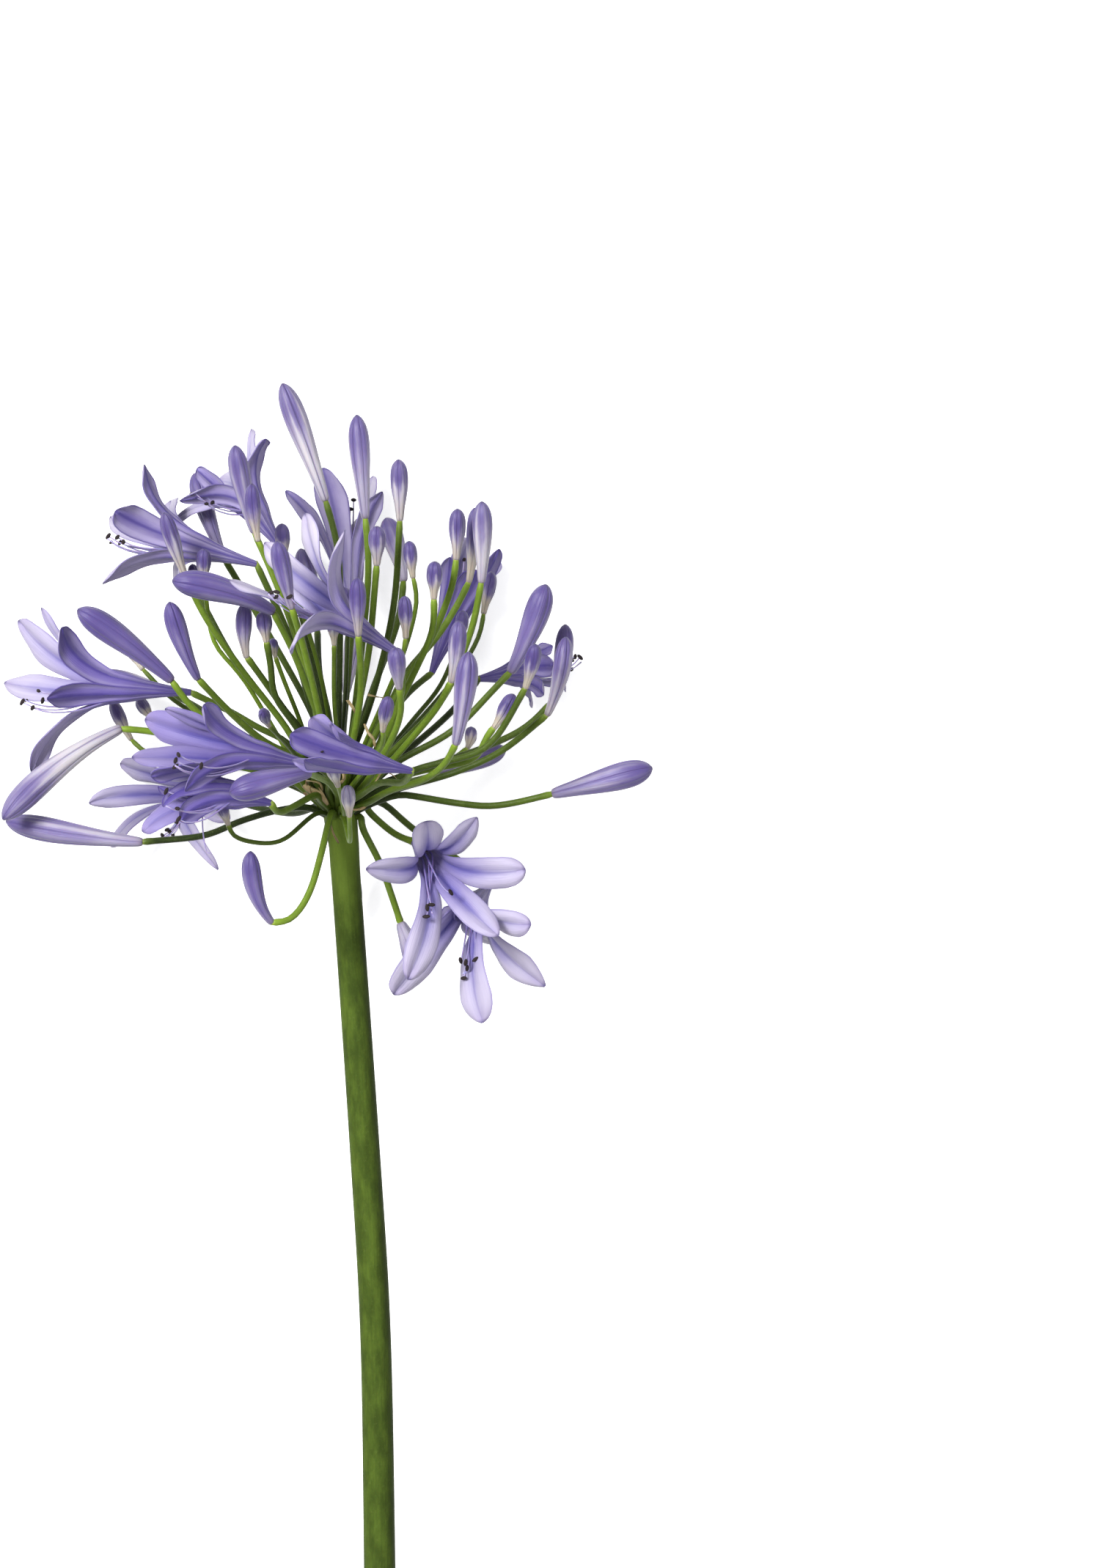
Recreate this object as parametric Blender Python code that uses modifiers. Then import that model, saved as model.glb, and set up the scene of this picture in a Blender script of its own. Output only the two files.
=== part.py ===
"""One cut agapanthus flower stem, laid down on a flat surface.

A leafless scape ends in a small round receptacle, and some sixty florets stand out from it on
slender pedicels: closed buds, buds about to open, and open six-tepalled flowers. The stem lies
on its back: +X is to the right, +Y runs from the cut end to the umbel, and +Z is up.
"""

import math

import bmesh
import bpy
import numpy as np
from mathutils import Vector

MM = 0.001

# Driving dimensions of the stem, in millimetres
HUB_HEIGHT = 62.0  # the receptacle's centre above the surface
KNOB_RADIUS = 8.5
ROOT_GAP = 0.5  # between the receptacle and the end of each pedicel, which is a solid of its own
ROOT_SPARE = 0.55  # between neighbouring pedicels where they leave the receptacle
LOWEST_ROOT = -0.55  # how far down the receptacle pedicels grow, as a share of its radius
ROOT_STRAIGHT = 3.5  # a pedicel first runs straight out of the receptacle for this length
SCAPE_TOP_RADIUS = 5.0
SCAPE_END_RADIUS = 5.6
CUT_END = (14.0, -332.0)
SCAPE_BENDS = [(1.8, -16.0), (8.7, -119.0), (12.3, -185.0), (13.5, -263.0)]
PEDICEL_RADIUS = 1.15
SLIM_PEDICEL_RADIUS = 0.8
TEPAL_THICKNESS = 0.7
TUBE_FOOT_RADIUS = 1.9
TUBE_WAIST = (0.55, 2.9)  # share of the tube's length, and its radius there
THROAT_RADIUS = 4.6
TEPAL_HALF_WIDTH = 4.3
TEPAL_LIFT = 0.42  # share of its length over which a tepal carries on along the tube
TEPAL_BEND = 0.1  # and how far it bows past the straight line to its tip
ASIDE = (0.31, 0.17, 0.93)  # a direction that no tube points along
CLEARANCE = 0.45
FLATTEN = 2.2  # how far the thin tepals reach into the spheres that stand for them
SETTLE_ROUNDS = 300
DEPTH_FIRST = (0.3, 0.3, 1.0)  # how readily a crowded floret moves aside, and how readily in depth

# Buds, in millimetres from the receptacle: the foot of the bud, its tip, its thickness, and the
# points across and along the stem that its pedicel passes
BUDS = {
    "bud_01": ((-4.2, 101.2, 6), (-18.8, 141, 10), 8.2, [(0.8, 72.5), (-1, 89.5)]),
    "bud_02": ((9.4, 95.2, 8), (6.6, 130.2, 12), 7.5, [(10.2, 71.8)]),
    "bud_03": ((21.2, 94.4, 10), (20.8, 115, 14), 6.2, [(11.8, 34.5), (19, 64.5)]),
    "bud_04": ((13.5, 79, 22), (13.6, 92, 26), 6.0, [(10.2, 46.5), (12.2, 64.5)]),
    "bud_05": ((23.4, 54.2, 32), (23.1, 68.2, 36), 5.2, [(22, 47)]),
    "bud_06": ((7.7, 54.8, 48), (7.5, 74, 56), 6.0, [(8.2, 34.5)]),
    "bud_07": ((21.5, 37, 50), (20.4, 50.4, 58), 6.5, [(18.2, 18.8), (22, 29.2)]),
    "bud_08": ((40.4, 81, 18), (40.9, 98, 22), 5.8, [(24.2, 41.8), (32, 54), (39.2, 72.2)]),
    "bud_09": ((32.9, 67.6, 24), (33.3, 80, 28), 5.5, [(30.5, 51.5), (32.8, 58.5)]),
    "bud_10": ((49, 73.1, 26), (49.2, 100.2, 34), 7.0, [(34.8, 32), (44.5, 54), (46.5, 60)]),
    "bud_11": ((44.6, 73.4, 6), (46.6, 98.6, 10), 5.5, [(22.8, 41.8), (32, 52.2), (41, 66)]),
    "bud_12": ((-58, 36, -40), (-84, 42, -52), 7.0, [(-24, 16), (-44, 28)]),
    "bud_13": ((38.8, 39.2, 34), (41.5, 59.8, 40), 6.2, [(24.8, 19.5), (34.2, 30.8)]),
    "bud_14": ((40.6, 18.2, 56), (45, 49, 66), 8.2, [(17.5, 2.2), (29, 5.8), (36.5, 11)]),
    "bud_15": ((53.5, 23.6, 24), (60.2, 34.8, 28), 5.5, [(24.8, 7), (46.5, 11.8), (50.2, 18.8)]),
    "bud_16": ((58.8, 42.8, 8), (71, 72.5, 14), 9.2, [(19.8, 12), (38.8, 22.5), (52.5, 36.2)]),
    "bud_17": ((63.8, 37.4, 30), (67.2, 52, 38), 5.5, [(24.8, 9), (48, 15.5), (55.8, 23.2)]),
    "bud_18": ((72.8, 32.5, -6), (77.5, 59.2, -4), 6.8, [(35, 11.8), (46.5, 15.5), (63.2, 23.2)]),
    "bud_19": ((71.2, 28, 14), (77.6, 54.5, 18), 6.5, [(24.8, 4), (39.5, 8), (55.8, 15.5)]),
    "bud_20": ((72.9, 1.8, 10), (106.8, 10.6, 14), 9.6, [(17.5, 1.8), (40.2, -0.9), (52.5, -1.6)]),
    "bud_21": ((-55.5, 39.8, 26), (-87, 63.8, 36), 9.4, [(-15.2, 13.2), (-32.8, 20.8), (-47, 30.2)]),
    "bud_22": ((-46.5, 40.2, 44), (-55.8, 65.9, 54), 7.2, [(-10.2, 12), (-24.2, 18.8), (-36, 29)]),
    "bud_23": ((-67.2, 44, -16), (-73.2, 55, -20), 4.8, [(-20.2, 15.8), (-52.8, 30.8)]),
    "bud_24": ((-31.2, 47.2, 22), (-31.6, 65.5, 26), 5.8, [(-12.5, 21.5), (-17.8, 27.5), (-25, 37.8)]),
    "bud_25": ((-21.2, 62.8, 40), (-55, 73.1, 50), 9.8, [(-6, 26), (-9, 34.8), (-14.8, 50)]),
    "bud_26": ((-45.2, 73.2, 16), (-45.2, 84.4, 20), 5.2, [(-21.5, 23), (-33, 42), (-42, 52.5)]),
    "bud_27": ((-50, 76.2, 28), (-56.8, 97.2, 36), 5.8, [(-15.2, 22), (-30.2, 43.2), (-42.8, 62)]),
    "bud_28": ((-28, 90, 26), (-34.3, 119.2, 34), 7.2, [(-7.8, 32), (-16.5, 62), (-25.5, 84.5)]),
    "bud_29": ((-26.2, 86.8, 42), (-28.2, 105.8, 48), 5.2, [(-7.8, 34.5), (-15.2, 59.5), (-22.2, 78.2)]),
    "bud_30": ((-17.5, 80.8, 26), (-18.5, 92.8, 30), 5.2, [(-5.2, 39.5), (-12.2, 64.5)]),
    "bud_31": ((-14.2, 63.5, 64), (-19, 85.8, 72), 6.6, [(-6.2, 32), (-10.8, 52)]),
    "bud_32": ((-24.1, 53, 24), (-25.2, 63.2, 26), 5.5, [(-12.8, 22), (-21.5, 34.5), (-22.5, 43.2)]),
    "bud_33": ((-0.5, 3.5, 40), (-3.2, 12.5, 52), 5.0, [(2.2, -6)]),
    "bud_34": ((4.6, -6, 44), (4, 4.2, 50), 5.0, [(4.5, -15)]),
    "bud_35": ((-40.2, 82, -8), (-50.2, 110.8, -10), 7.0, [(-7.8, 25.8), (-25.2, 57)]),
    "bud_36": ((21.9, 74.5, -32), (15.8, 96.2, -34), 7.8, [(9.8, 32), (19.8, 59.5)]),
    "bud_37": ((-73.8, 23.4, 6), (-113.5, -7.5, 18), 9.6, [(-20.2, 10.8), (-50.2, 19.5), (-64, 22.6)]),
    "bud_38": ((-66.5, -15.1, 8), (-113.2, -8, 2), 8.8, [(-21.4, -4.5), (-34.5, -8.5), (-45.5, -13)]),
    "bud_39": ((-21.8, -42.2, 28), (-29, -18, 34), 6.8, [(-2, -2.8), (-5.2, -17), (-9.5, -32), (-15.5, -41)]),
    "bud_40": ((-6.8, 9.5, 70), (-33.5, 2.5, 78), 9.5, [(-1.2, 6.5)]),
    "bud_41": ((21, -42.8, 2), (28.5, -58.5, 6), 9.0, [(6.2, -6), (13.2, -20.5), (17.2, -31.8)]),
    "bud_42": ((-8, 58, -48), (-14, 86, -54), 7.6, [(-3, 24), (-7, 42)]),
    "bud_43": ((-34, 12, -46), (-56, 20, -55), 7.0, [(-12, 6), (-24, 9)]),
    "bud_44": ((34, 8, -44), (57, 17, -54), 7.4, [(10, 4), (22, 5)]),
    "bud_45": ((2, 36, -46), (6, 62, -56), 7.2, [(1, 18)]),
    "bud_46": ((1.5, -14, -40), (4.5, -40, -52), 7.6, [(0, -8)]),
    "small_bud_01": ((25.7, 74.9, 14), (24.4, 87.2, 16), 4.8, [(22.2, 48.5), (27, 66.8)]),
    "small_bud_02": ((16, 22.6, 52), (18.1, 33.8, 62), 5.0, [(15, 16.5)]),
    "small_bud_03": ((40.8, 52.5, -14), (42.5, 64, -12), 4.8, [(24.8, 25.8), (34.8, 38.2)]),
    "small_bud_04": ((43.8, 16.8, -22), (45, 23.8, -30), 4.4, [(24.8, 9), (37.2, 12.5)]),
    "small_bud_05": ((-47.8, 70, 0), (-49.8, 79.8, 2), 4.0, [(-19, 25.8), (-35.2, 47)]),
    "small_bud_06": ((-21.2, 47.8, 6), (-22.2, 54.2, 4), 3.4, [(-12.8, 25.8), (-18.2, 39.5)]),
    "small_bud_07": ((-22.4, 24.2, 46), (-24, 29.2, 60), 4.2, [(-14, 14.5)]),
    "small_bud_08": ((-1, 52, 18), (-1.5, 62.5, 22), 4.5, [(-1, 32)]),
    "small_bud_09": ((3.2, 59.5, -8), (2.1, 71.8, -8), 4.5, [(2.2, 32)]),
    "small_bud_10": ((-71.2, 20, -18), (-77.8, 33.2, -22), 4.8, [(-30.2, 9.5), (-59, 13), (-68.2, 16.5)]),
    "small_bud_11": ((-63.5, 27, -10), (-68.5, 33.8, -14), 4.5, [(-30.2, 12), (-52.8, 20.8)]),
    "small_bud_12": ((-36.8, -9, 24), (-39.8, -1, 28), 4.5, [(-9, -6.2), (-20, -15.1), (-33.8, -13.8)]),
    "small_bud_13": ((49.6, 63, -6), (52.4, 77.2, -6), 5.0, [(34.8, 34.5), (45, 49.2), (48.8, 57)]),
}

# Open flowers, in millimetres from the receptacle: the foot of the tube, the middle of the
# throat, the six tepal tips, and the points that the pedicel passes
FLOWERS = {
    "flower_01": (
        (-50, 35.8, 4), (-70.8, 37.2, 4),
        [(-95.2, 57.8, 16), (-101, 64.8, -4), (-108.2, 60.5, -18),
         (-114.8, 39.5, -14), (-98.2, 33.5, 22), (-104.8, 8.8, 6)],
        [(-16.2, 18), (-27.2, 23.8), (-36, 29)],
    ),
    "flower_02": (
        (-27.1, 78.8, 8), (-45.8, 84, 8),
        [(-66.2, 112.5, 14), (-57.2, 101.2, -16), (-75, 97, 24),
         (-78.8, 96, -22), (-79.5, 72.2, 16), (-54.5, 71.8, -4)],
        [(-7.8, 25.8), (-15.2, 52)],
    ),
    "flower_03": (
        (-19, 85, 2), (-27.2, 97, 2),
        [(-52.8, 100.5, 14), (-57, 94, -14), (-40, 108.2, -22),
         (-28.8, 125.8, -12), (-24.5, 122.8, 14), (-48.2, 112, 4)],
        [(-5.2, 32), (-11.5, 59.5)],
    ),
    "flower_04": (
        (21.5, 48.5, 34), (5.2, 59, 42),
        [(-36, 73, 58), (-25.2, 85.8, 44), (-9.8, 96, 42),
         (3.5, 90, 60), (-15, 49.5, 70), (-16.5, 79.5, 30)],
        [(14.8, 17), (21.8, 35)],
    ),
    "flower_05": (
        (-6.8, 10.5, 50), (-23.2, 13.5, 56),
        [(-64, 26, 44), (-56.5, 30, 60), (-44, 30.8, 74),
         (-67.8, 13, 66), (-49.8, 2, 76), (-61.5, 6.5, 62)],
        [(-3.2, 6.5)],
    ),
    "flower_06": (
        (-21, -1.5, 42), (-31.5, 0.8, 44),
        [(-61.2, 7, 34), (-59, 4, 50), (-64.8, -10.8, 44),
         (-52.8, 2.5, 30), (-51.5, -7.5, 54), (-57.2, -2, 58)],
        [(-5.2, 1.8), (-12.5, -2.2), (-17.8, -4.5)],
    ),
    "flower_07": (
        (25.8, 9, 66), (11.8, 12, 72),
        [(-7.5, 26.8, 78), (-14.5, 21.2, 90), (-14, 11.8, 80),
         (-9, 12, 94), (-1.5, 24, 92), (-11.5, 18.2, 66)],
        [(14.8, 5), (22.8, 5)],
    ),
    "flower_08": (
        (-40.2, 0.8, -48), (-49.8, 2, -47),
        [(-76.5, 11.5, -55), (-86.8, -2, -48), (-79.8, -16.5, -43),
         (-42.2, -25, -42), (-38.2, -7.8, -44), (-59.8, 14.5, -62)],
        [(-5.2, -1.5), (-15.2, -5.5), (-30.2, -3)],
    ),
    "flower_09": (
        (24.8, -13, -2), (29.8, -18.8, 10),
        [(29.5, -5.5, 28), (46.8, -4.8, 24), (63.2, -22.2, 28),
         (54, -44.5, 36), (23.2, -59.5, 34), (9, -22, 26)],
        [(7.8, -1.5), (17.2, -9.2)],
    ),
    "flower_10": (
        (51.8, -29.5, -10), (46.8, -36, 0),
        [(19, -67, 10), (49, -76.5, 18), (70.5, -64, 12),
         (66, -43, 30), (33.2, -48, -22), (57.2, -50.5, -26)],
        [(12.5, 1), (25.8, -10.5), (42.2, -21.8)],
    ),
    "flower_11": (
        (4.2, 59.5, -34), (3.2, 74.5, -40),
        [(-19, 105.5, -44), (-5.8, 113.2, -34), (10.8, 111.2, -54),
         (14.2, 105.8, -38), (-3.2, 102, -60), (7.2, 97, -60)],
        [(2.2, 32)],
    ),
    "flower_12": (
        (31.5, 42.8, -40), (37.2, 58.2, -46),
        [(38, 82.8, -36), (54.8, 85.5, -40), (53.8, 82.8, -58),
         (44.8, 89.5, -60), (36, 78.2, -60), (47.2, 78.2, -34)],
        [(9.8, 17), (22.2, 34.5)],
    ),
    "flower_13": (
        (47.8, 40.8, -36), (59.8, 42.8, -44),
        [(73.2, 51.8, -50), (74, 45.8, -34), (71, 35.5, -38),
         (66.2, 31, -58), (77.2, 39.5, -60), (68.5, 49.5, -60)],
        [(19.8, 13.2), (37.2, 28.2)],
    ),
}

# Shape of a bud along its length: share of the length, share of half its thickness
PLUMP = [(0, 0.42), (0.12, 0.52), (0.34, 0.66), (0.62, 1.0), (0.8, 0.93), (0.93, 0.55), (1, 0.14)]


def interpolated(points, count):
    """Evenly spaced points along a smooth curve through the given ones (a Catmull-Rom spline)."""
    given = np.array(points, float)
    padded = np.vstack([2 * given[0] - given[1], given, 2 * given[-1] - given[-2]])
    fine = [given[0]]
    for k in range(1, len(padded) - 2):
        before, start, end, after = padded[k - 1 : k + 3]
        for t in np.linspace(0, 1, 13)[1:]:
            fine.append(0.5 * (2 * start + (end - before) * t
                               + (2 * before - 5 * start + 4 * end - after) * t**2
                               + (3 * start - before - 3 * end + after) * t**3))
    fine = np.array(fine)
    reached = np.append(0, np.cumsum(np.linalg.norm(np.diff(fine, axis=0), axis=1)))
    wanted = np.linspace(0, reached[-1], count)
    return np.column_stack([np.interp(wanted, reached, fine[:, axis]) for axis in range(3)])


def unit(vector):
    return vector / np.linalg.norm(vector, axis=-1, keepdims=True)


def spread_roots(wished):
    """Directions out of the receptacle near the wished ones, far enough apart for each pedicel."""
    apart = (2 * PEDICEL_RADIUS + ROOT_SPARE) / KNOB_RADIUS
    directions = unit(np.array(wished))
    for _ in range(400):
        away = directions[:, None] - directions[None]
        span = np.linalg.norm(away, axis=2) + np.eye(len(wished))
        push = np.clip(apart - span, 0, None) * (1 - np.eye(len(wished)))
        directions = directions + 0.4 * (away / span[..., None] * push[..., None]).sum(axis=1)
        directions[:, 1] = np.clip(directions[:, 1], LOWEST_ROOT, None)
        directions = unit(directions)
    return directions


def scape_line():
    """The scape's centre line from the receptacle down to the cut end, which lies on the surface."""
    end_height = SCAPE_END_RADIUS - HUB_HEIGHT
    flat = [(0.0, 0.0), *SCAPE_BENDS, CUT_END]
    line = [(x, y, end_height * y / CUT_END[1]) for x, y in flat]
    return interpolated(line, 60)


def tepal_rows(floret, shares):
    """Middle points of the six tepals at the given shares of their length, and their side directions."""
    throat, tips = floret["throat"], floret["tips"]
    axis = unit(throat - floret["foot"])
    across = unit(np.cross(axis, ASIDE))
    upward = np.cross(axis, across)
    angles = np.arctan2((tips - throat) @ upward, (tips - throat) @ across)
    order = np.argsort(angles)
    tips, angles = tips[order], angles[order]
    turn = np.mean(angles - np.arange(6) * math.pi / 3)
    rows, sides = [], []
    for k, tip in enumerate(tips):
        around = turn + k * math.pi / 3
        outward = math.cos(around) * across + math.sin(around) * upward
        start = throat + THROAT_RADIUS * outward
        length = np.linalg.norm(tip - start)
        lift = start + TEPAL_LIFT * length * axis
        bend = 0.5 * (lift + tip) + TEPAL_BEND * length * axis
        t = np.array(shares)[:, None]
        near = (1 - t) ** 3 * start + 3 * t * (1 - t) ** 2 * lift
        far = 3 * t**2 * (1 - t) * bend + t**3 * tip
        rows.append(near + far)
        sides.append(np.cross(axis, outward))
    return np.array(rows), np.array(sides), turn, across, upward


def pedicel_points(root, foot, via):
    """Points from the receptacle to the foot of a bud or flower; depth follows the way gone."""
    start = root * (KNOB_RADIUS + ROOT_GAP)
    flat = [start[:2], *[np.array(p, float) for p in via], np.array(foot[:2], float)]
    gone = np.append(0, np.cumsum([np.linalg.norm(b - a) for a, b in zip(flat, flat[1:])]))
    depth = start[2] + (foot[2] - start[2]) * (gone / gone[-1]) ** 0.9
    return [start, start + ROOT_STRAIGHT * root, *[np.array([*p, d]) for p, d in zip(flat, depth)][1:]]


def florets():
    """Every floret as its centre line, sample points for keeping clear, and how far each is free."""
    names = [*BUDS, *FLOWERS]
    rows = {**BUDS, **FLOWERS}
    wished = []
    for name in names:
        foot, via = rows[name][0], rows[name][3]
        way = 0.45 if len(via) > 1 else 0.6
        wished.append(np.array([*via[0], foot[2] * way]) + 1e-3)
    made = {}
    for name, root in zip(names, spread_roots(wished)):
        foot, second, third, via = rows[name]
        stalk = pedicel_points(root, foot, via)
        made[name] = {"stalk": stalk, "foot": np.array(foot, float), "open": name in FLOWERS}
        if name in FLOWERS:
            made[name].update(throat=np.array(second, float), tips=np.array(third, float))
        else:
            made[name].update(tip=np.array(second, float), thick=third)
    return made


def stalk_radius(floret):
    return SLIM_PEDICEL_RADIUS if floret.get("thick", 9) < 5.3 else PEDICEL_RADIUS


def samples_of(floret):
    """Spheres that cover a floret: centres, radii, and the share of its movement that each takes."""
    line = interpolated([*floret["stalk"]], 34)
    step = np.linalg.norm(line[1] - line[0])
    radius = stalk_radius(floret)
    share = np.linspace(0, 1, len(line))
    centres, radii, shares = [line], [np.full(len(line), math.hypot(radius, step / 2))], [share]
    if floret["open"]:
        rows, sides = tepal_rows(floret, [0.15, 0.4, 0.6, 0.8, 0.97])[:2]
        tube = np.linspace(floret["foot"], floret["throat"], 7)
        body = [tube, *[(rows + 2.6 * k * sides[:, None]).reshape(-1, 3) for k in (-1, 0, 1)]]
        sizes = [np.linspace(2, THROAT_RADIUS, 7), *[np.full(rows.shape[0] * rows.shape[1], 1.8)] * 3]
    else:
        along = np.linspace(0, 1, 9)
        plump = np.interp(along, *zip(*PLUMP)) * floret["thick"] / 2
        body = [floret["foot"] + along[:, None] * (floret["tip"] - floret["foot"])]
        sizes = [plump + 0.25]
    for places, size in zip(body, sizes):
        centres.append(places)
        radii.append(size)
        shares.append(np.ones(len(places)))
    return np.vstack(centres), np.concatenate(radii), np.concatenate(shares)


def near_pairs(places, radii, owners, reach):
    """Pairs of spheres of different florets that lie within the given reach of each other."""
    square = (places**2).sum(axis=1)
    found = []
    for first in range(0, len(places), 500):
        block = slice(first, first + 500)
        span = square[block, None] + square[None] - 2 * places[block] @ places.T
        limit = radii[block, None] + radii[None] + reach
        near = (span < limit**2) & (owners[block, None] < owners[None])
        one, other = np.nonzero(near)
        found.append(np.column_stack([one + first, other]))
    return np.vstack(found)


def added_up(owners, amounts, size):
    """The sum of each owner's rows."""
    return np.column_stack([np.bincount(owners, column, size) for column in amounts.T])


def settle(made, rounds=SETTLE_ROUNDS):
    """Moves feet and pedicels a little, mostly in depth, until no floret presses into another."""
    names = list(made)
    parts = [samples_of(made[name]) for name in names]
    scape = scape_line()[2:]
    centres = np.vstack([*[p[0] for p in parts], scape])
    radii = np.concatenate([*[p[1] for p in parts], np.full(len(scape), SCAPE_END_RADIUS + 0.6)])
    shares = np.concatenate([*[p[2] for p in parts], np.zeros(len(scape))])
    owners = np.concatenate([*[np.full(len(p[0]), k) for k, p in enumerate(parts)],
                             np.full(len(scape), len(names))])
    whole = shares**2 * (3 - 2 * shares)
    bow = 4 * shares * (1 - shares)
    size = len(names) + 1
    shift = np.zeros((size, 3))
    belly = np.zeros((size, 3))
    for turn in range(rounds):
        places = centres + whole[:, None] * shift[owners] + bow[:, None] * belly[owners]
        if turn % 30 == 0:
            pairs = near_pairs(places, radii, owners, 4.0)
            pairs = pairs[(shares[pairs[:, 0]] > 0.09) | (shares[pairs[:, 1]] > 0.09)]
        away = places[pairs[:, 0]] - places[pairs[:, 1]]
        span = np.linalg.norm(away, axis=1) + 1e-6
        deep = radii[pairs[:, 0]] + radii[pairs[:, 1]] + CLEARANCE - span
        pressed = deep > 0
        one, other = pairs[pressed].T
        away = away[pressed] / span[pressed, None]
        away[:, 2] += 0.35 * np.where(away[:, 2] >= 0, 1, -1)
        push = deep[pressed, None] * away * DEPTH_FIRST
        low = np.clip(radii - HUB_HEIGHT - FLATTEN - places[:, 2], 0, None) * (owners < len(names))
        lift = np.column_stack([0 * low, 0 * low, low])
        for rate, weight, moved in ((0.5, whole, shift), (0.4, bow, belly)):
            total = added_up(owners[one], push * weight[one, None], size)
            total -= added_up(owners[other], push * weight[other, None], size)
            total += 3 * added_up(owners, lift * weight[:, None], size)
            count = np.bincount(owners[one], weight[one] ** 2, size)
            count += np.bincount(owners[other], weight[other] ** 2, size)
            count += 3 * np.bincount(owners, weight**2 * (low > 0), size)
            moved += rate * total / np.maximum(count, 1)[:, None]
            moved[-1] = 0
        shift *= 0.999
        belly *= 0.999
    for k, name in enumerate(names):
        floret = made[name]
        stalk = interpolated(floret["stalk"], 12)
        share = np.linspace(0, 1, 12)[:, None]
        floret["line"] = stalk + share**2 * (3 - 2 * share) * shift[k] + 4 * share * (1 - share) * belly[k]
        for key in ("foot", "tip", "throat", "tips"):
            if key in floret:
                floret[key] = floret[key] + shift[k]
    print("deepest press left", round(float(deep.max()), 2), "mm")
    return made


def material(name, colour, roughness):
    made = bpy.data.materials.new(name)
    made.use_nodes = True
    shader = made.node_tree.nodes["Principled BSDF"]
    shader.inputs["Base Color"].default_value = (*colour, 1)
    shader.inputs["Roughness"].default_value = roughness
    return made


def tapered_rod(name, points, radii, sides, finish, collection):
    """A closed rod of changing thickness along the given points, which are in millimetres."""
    curve = bpy.data.curves.new(name, "CURVE")
    curve.dimensions = "3D"
    curve.bevel_depth = MM
    curve.bevel_resolution = sides // 2 - 2
    curve.use_fill_caps = True
    spline = curve.splines.new("POLY")
    spline.points.add(len(points) - 1)
    for point, place, radius in zip(spline.points, points, radii):
        point.co = (*(Vector(place) * MM), 1)
        point.radius = radius
    curve.materials.append(finish)
    rod = bpy.data.objects.new(name, curve)
    collection.objects.link(rod)
    return rod


def as_mesh(rod):
    """The rod as a mesh object with welded caps, in the same place."""
    graph = bpy.context.evaluated_depsgraph_get()
    mesh = bpy.data.meshes.new_from_object(rod.evaluated_get(graph))
    shape = bmesh.new()
    shape.from_mesh(mesh)
    bmesh.ops.remove_doubles(shape, verts=shape.verts, dist=1e-6)
    shape.to_mesh(mesh)
    shape.free()
    made = bpy.data.objects.new(rod.name + "_mesh", mesh)
    made.matrix_world = rod.matrix_world
    for collection in rod.users_collection:
        collection.objects.link(made)
    bpy.data.objects.remove(rod)
    return made


def build_scape(finish, collection):
    """The scape and the round receptacle at its top, grown as one piece."""
    line = scape_line()
    heights = line[:, 1]
    stem = line[heights < -KNOB_RADIUS][::4]
    stem = np.vstack([stem, line[-1]]) if not np.allclose(stem[-1], line[-1]) else stem
    share = (stem[:, 1] - stem[0, 1]) / (stem[-1, 1] - stem[0, 1])
    thickness = SCAPE_TOP_RADIUS + (SCAPE_END_RADIUS - SCAPE_TOP_RADIUS) * share
    lift = [math.radians(a) for a in (84, 62, 40, 18, -4, -26, -48)]
    knob = [(0, KNOB_RADIUS * math.sin(a), 0) for a in lift]
    knob_radii = [KNOB_RADIUS * math.cos(a) for a in lift]
    return tapered_rod("scape", [*knob, *stem], [*knob_radii, *thickness], 12, finish, collection)


def build_bud(name, floret, finish, collection):
    along = np.array([share for share, _ in PLUMP[1:]])[:, None]
    body = floret["foot"] + along * (floret["tip"] - floret["foot"])
    body_radii = [plump * floret["thick"] / 2 for _, plump in PLUMP[1:]]
    line = interpolated(floret["line"], 9)
    line_radii = np.full(len(line), stalk_radius(floret))
    return tapered_rod(name, [*line, *body], [*line_radii, *body_radii], 6, finish, collection)


def perianth(name, floret, finish, collection):
    """The funnel of a flower: a tube that opens into six tepals, a sheet with a wall thickness."""
    shares = [0.0, 0.34, 0.7, 1.0]
    rows, sides, turn, across, upward = tepal_rows(floret, shares)
    shape = bmesh.new()
    rings = []
    for share, radius in ((0, TUBE_FOOT_RADIUS), TUBE_WAIST, (1, THROAT_RADIUS)):
        middle = floret["foot"] + share * (floret["throat"] - floret["foot"])
        ring = []
        for k in range(12):
            around = turn + (k - 1) * math.pi / 6
            outward = math.cos(around) * across + math.sin(around) * upward
            ring.append(shape.verts.new(Vector(middle + radius * outward) * MM))
        rings.append(ring)
    shape.faces.new(rings[0][::-1])
    for lower, upper in zip(rings, rings[1:]):
        for k in range(12):
            shape.faces.new((lower[k], lower[(k + 1) % 12], upper[(k + 1) % 12], upper[k]))
    for k in range(6):
        beside = np.minimum(np.linalg.norm(rows[k] - rows[k - 1], axis=1),
                            np.linalg.norm(rows[k] - rows[(k + 1) % 6], axis=1))
        before = [rings[2][2 * k], rings[2][2 * k + 1], rings[2][(2 * k + 2) % 12]]
        for row, breadth in ((1, 0.92), (2, 1.0), (3, 0.3)):
            half = min(breadth * TEPAL_HALF_WIDTH, 0.45 * beside[row])
            new = []
            for side in (-1, 0, 1):
                place = rows[k][row] + half * side * sides[k]
                new.append(shape.verts.new(Vector(place) * MM))
            for a in (0, 1):
                shape.faces.new((before[a], before[a + 1], new[a + 1], new[a]))
            before = new
    bmesh.ops.recalc_face_normals(shape, faces=shape.faces)
    mesh = bpy.data.meshes.new(name)
    shape.to_mesh(mesh)
    shape.free()
    mesh.materials.append(finish)
    made = bpy.data.objects.new(name, mesh)
    collection.objects.link(made)
    wall = made.modifiers.new("wall", "SOLIDIFY")
    wall.thickness = TEPAL_THICKNESS * MM
    wall.offset = 0
    return made


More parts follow.
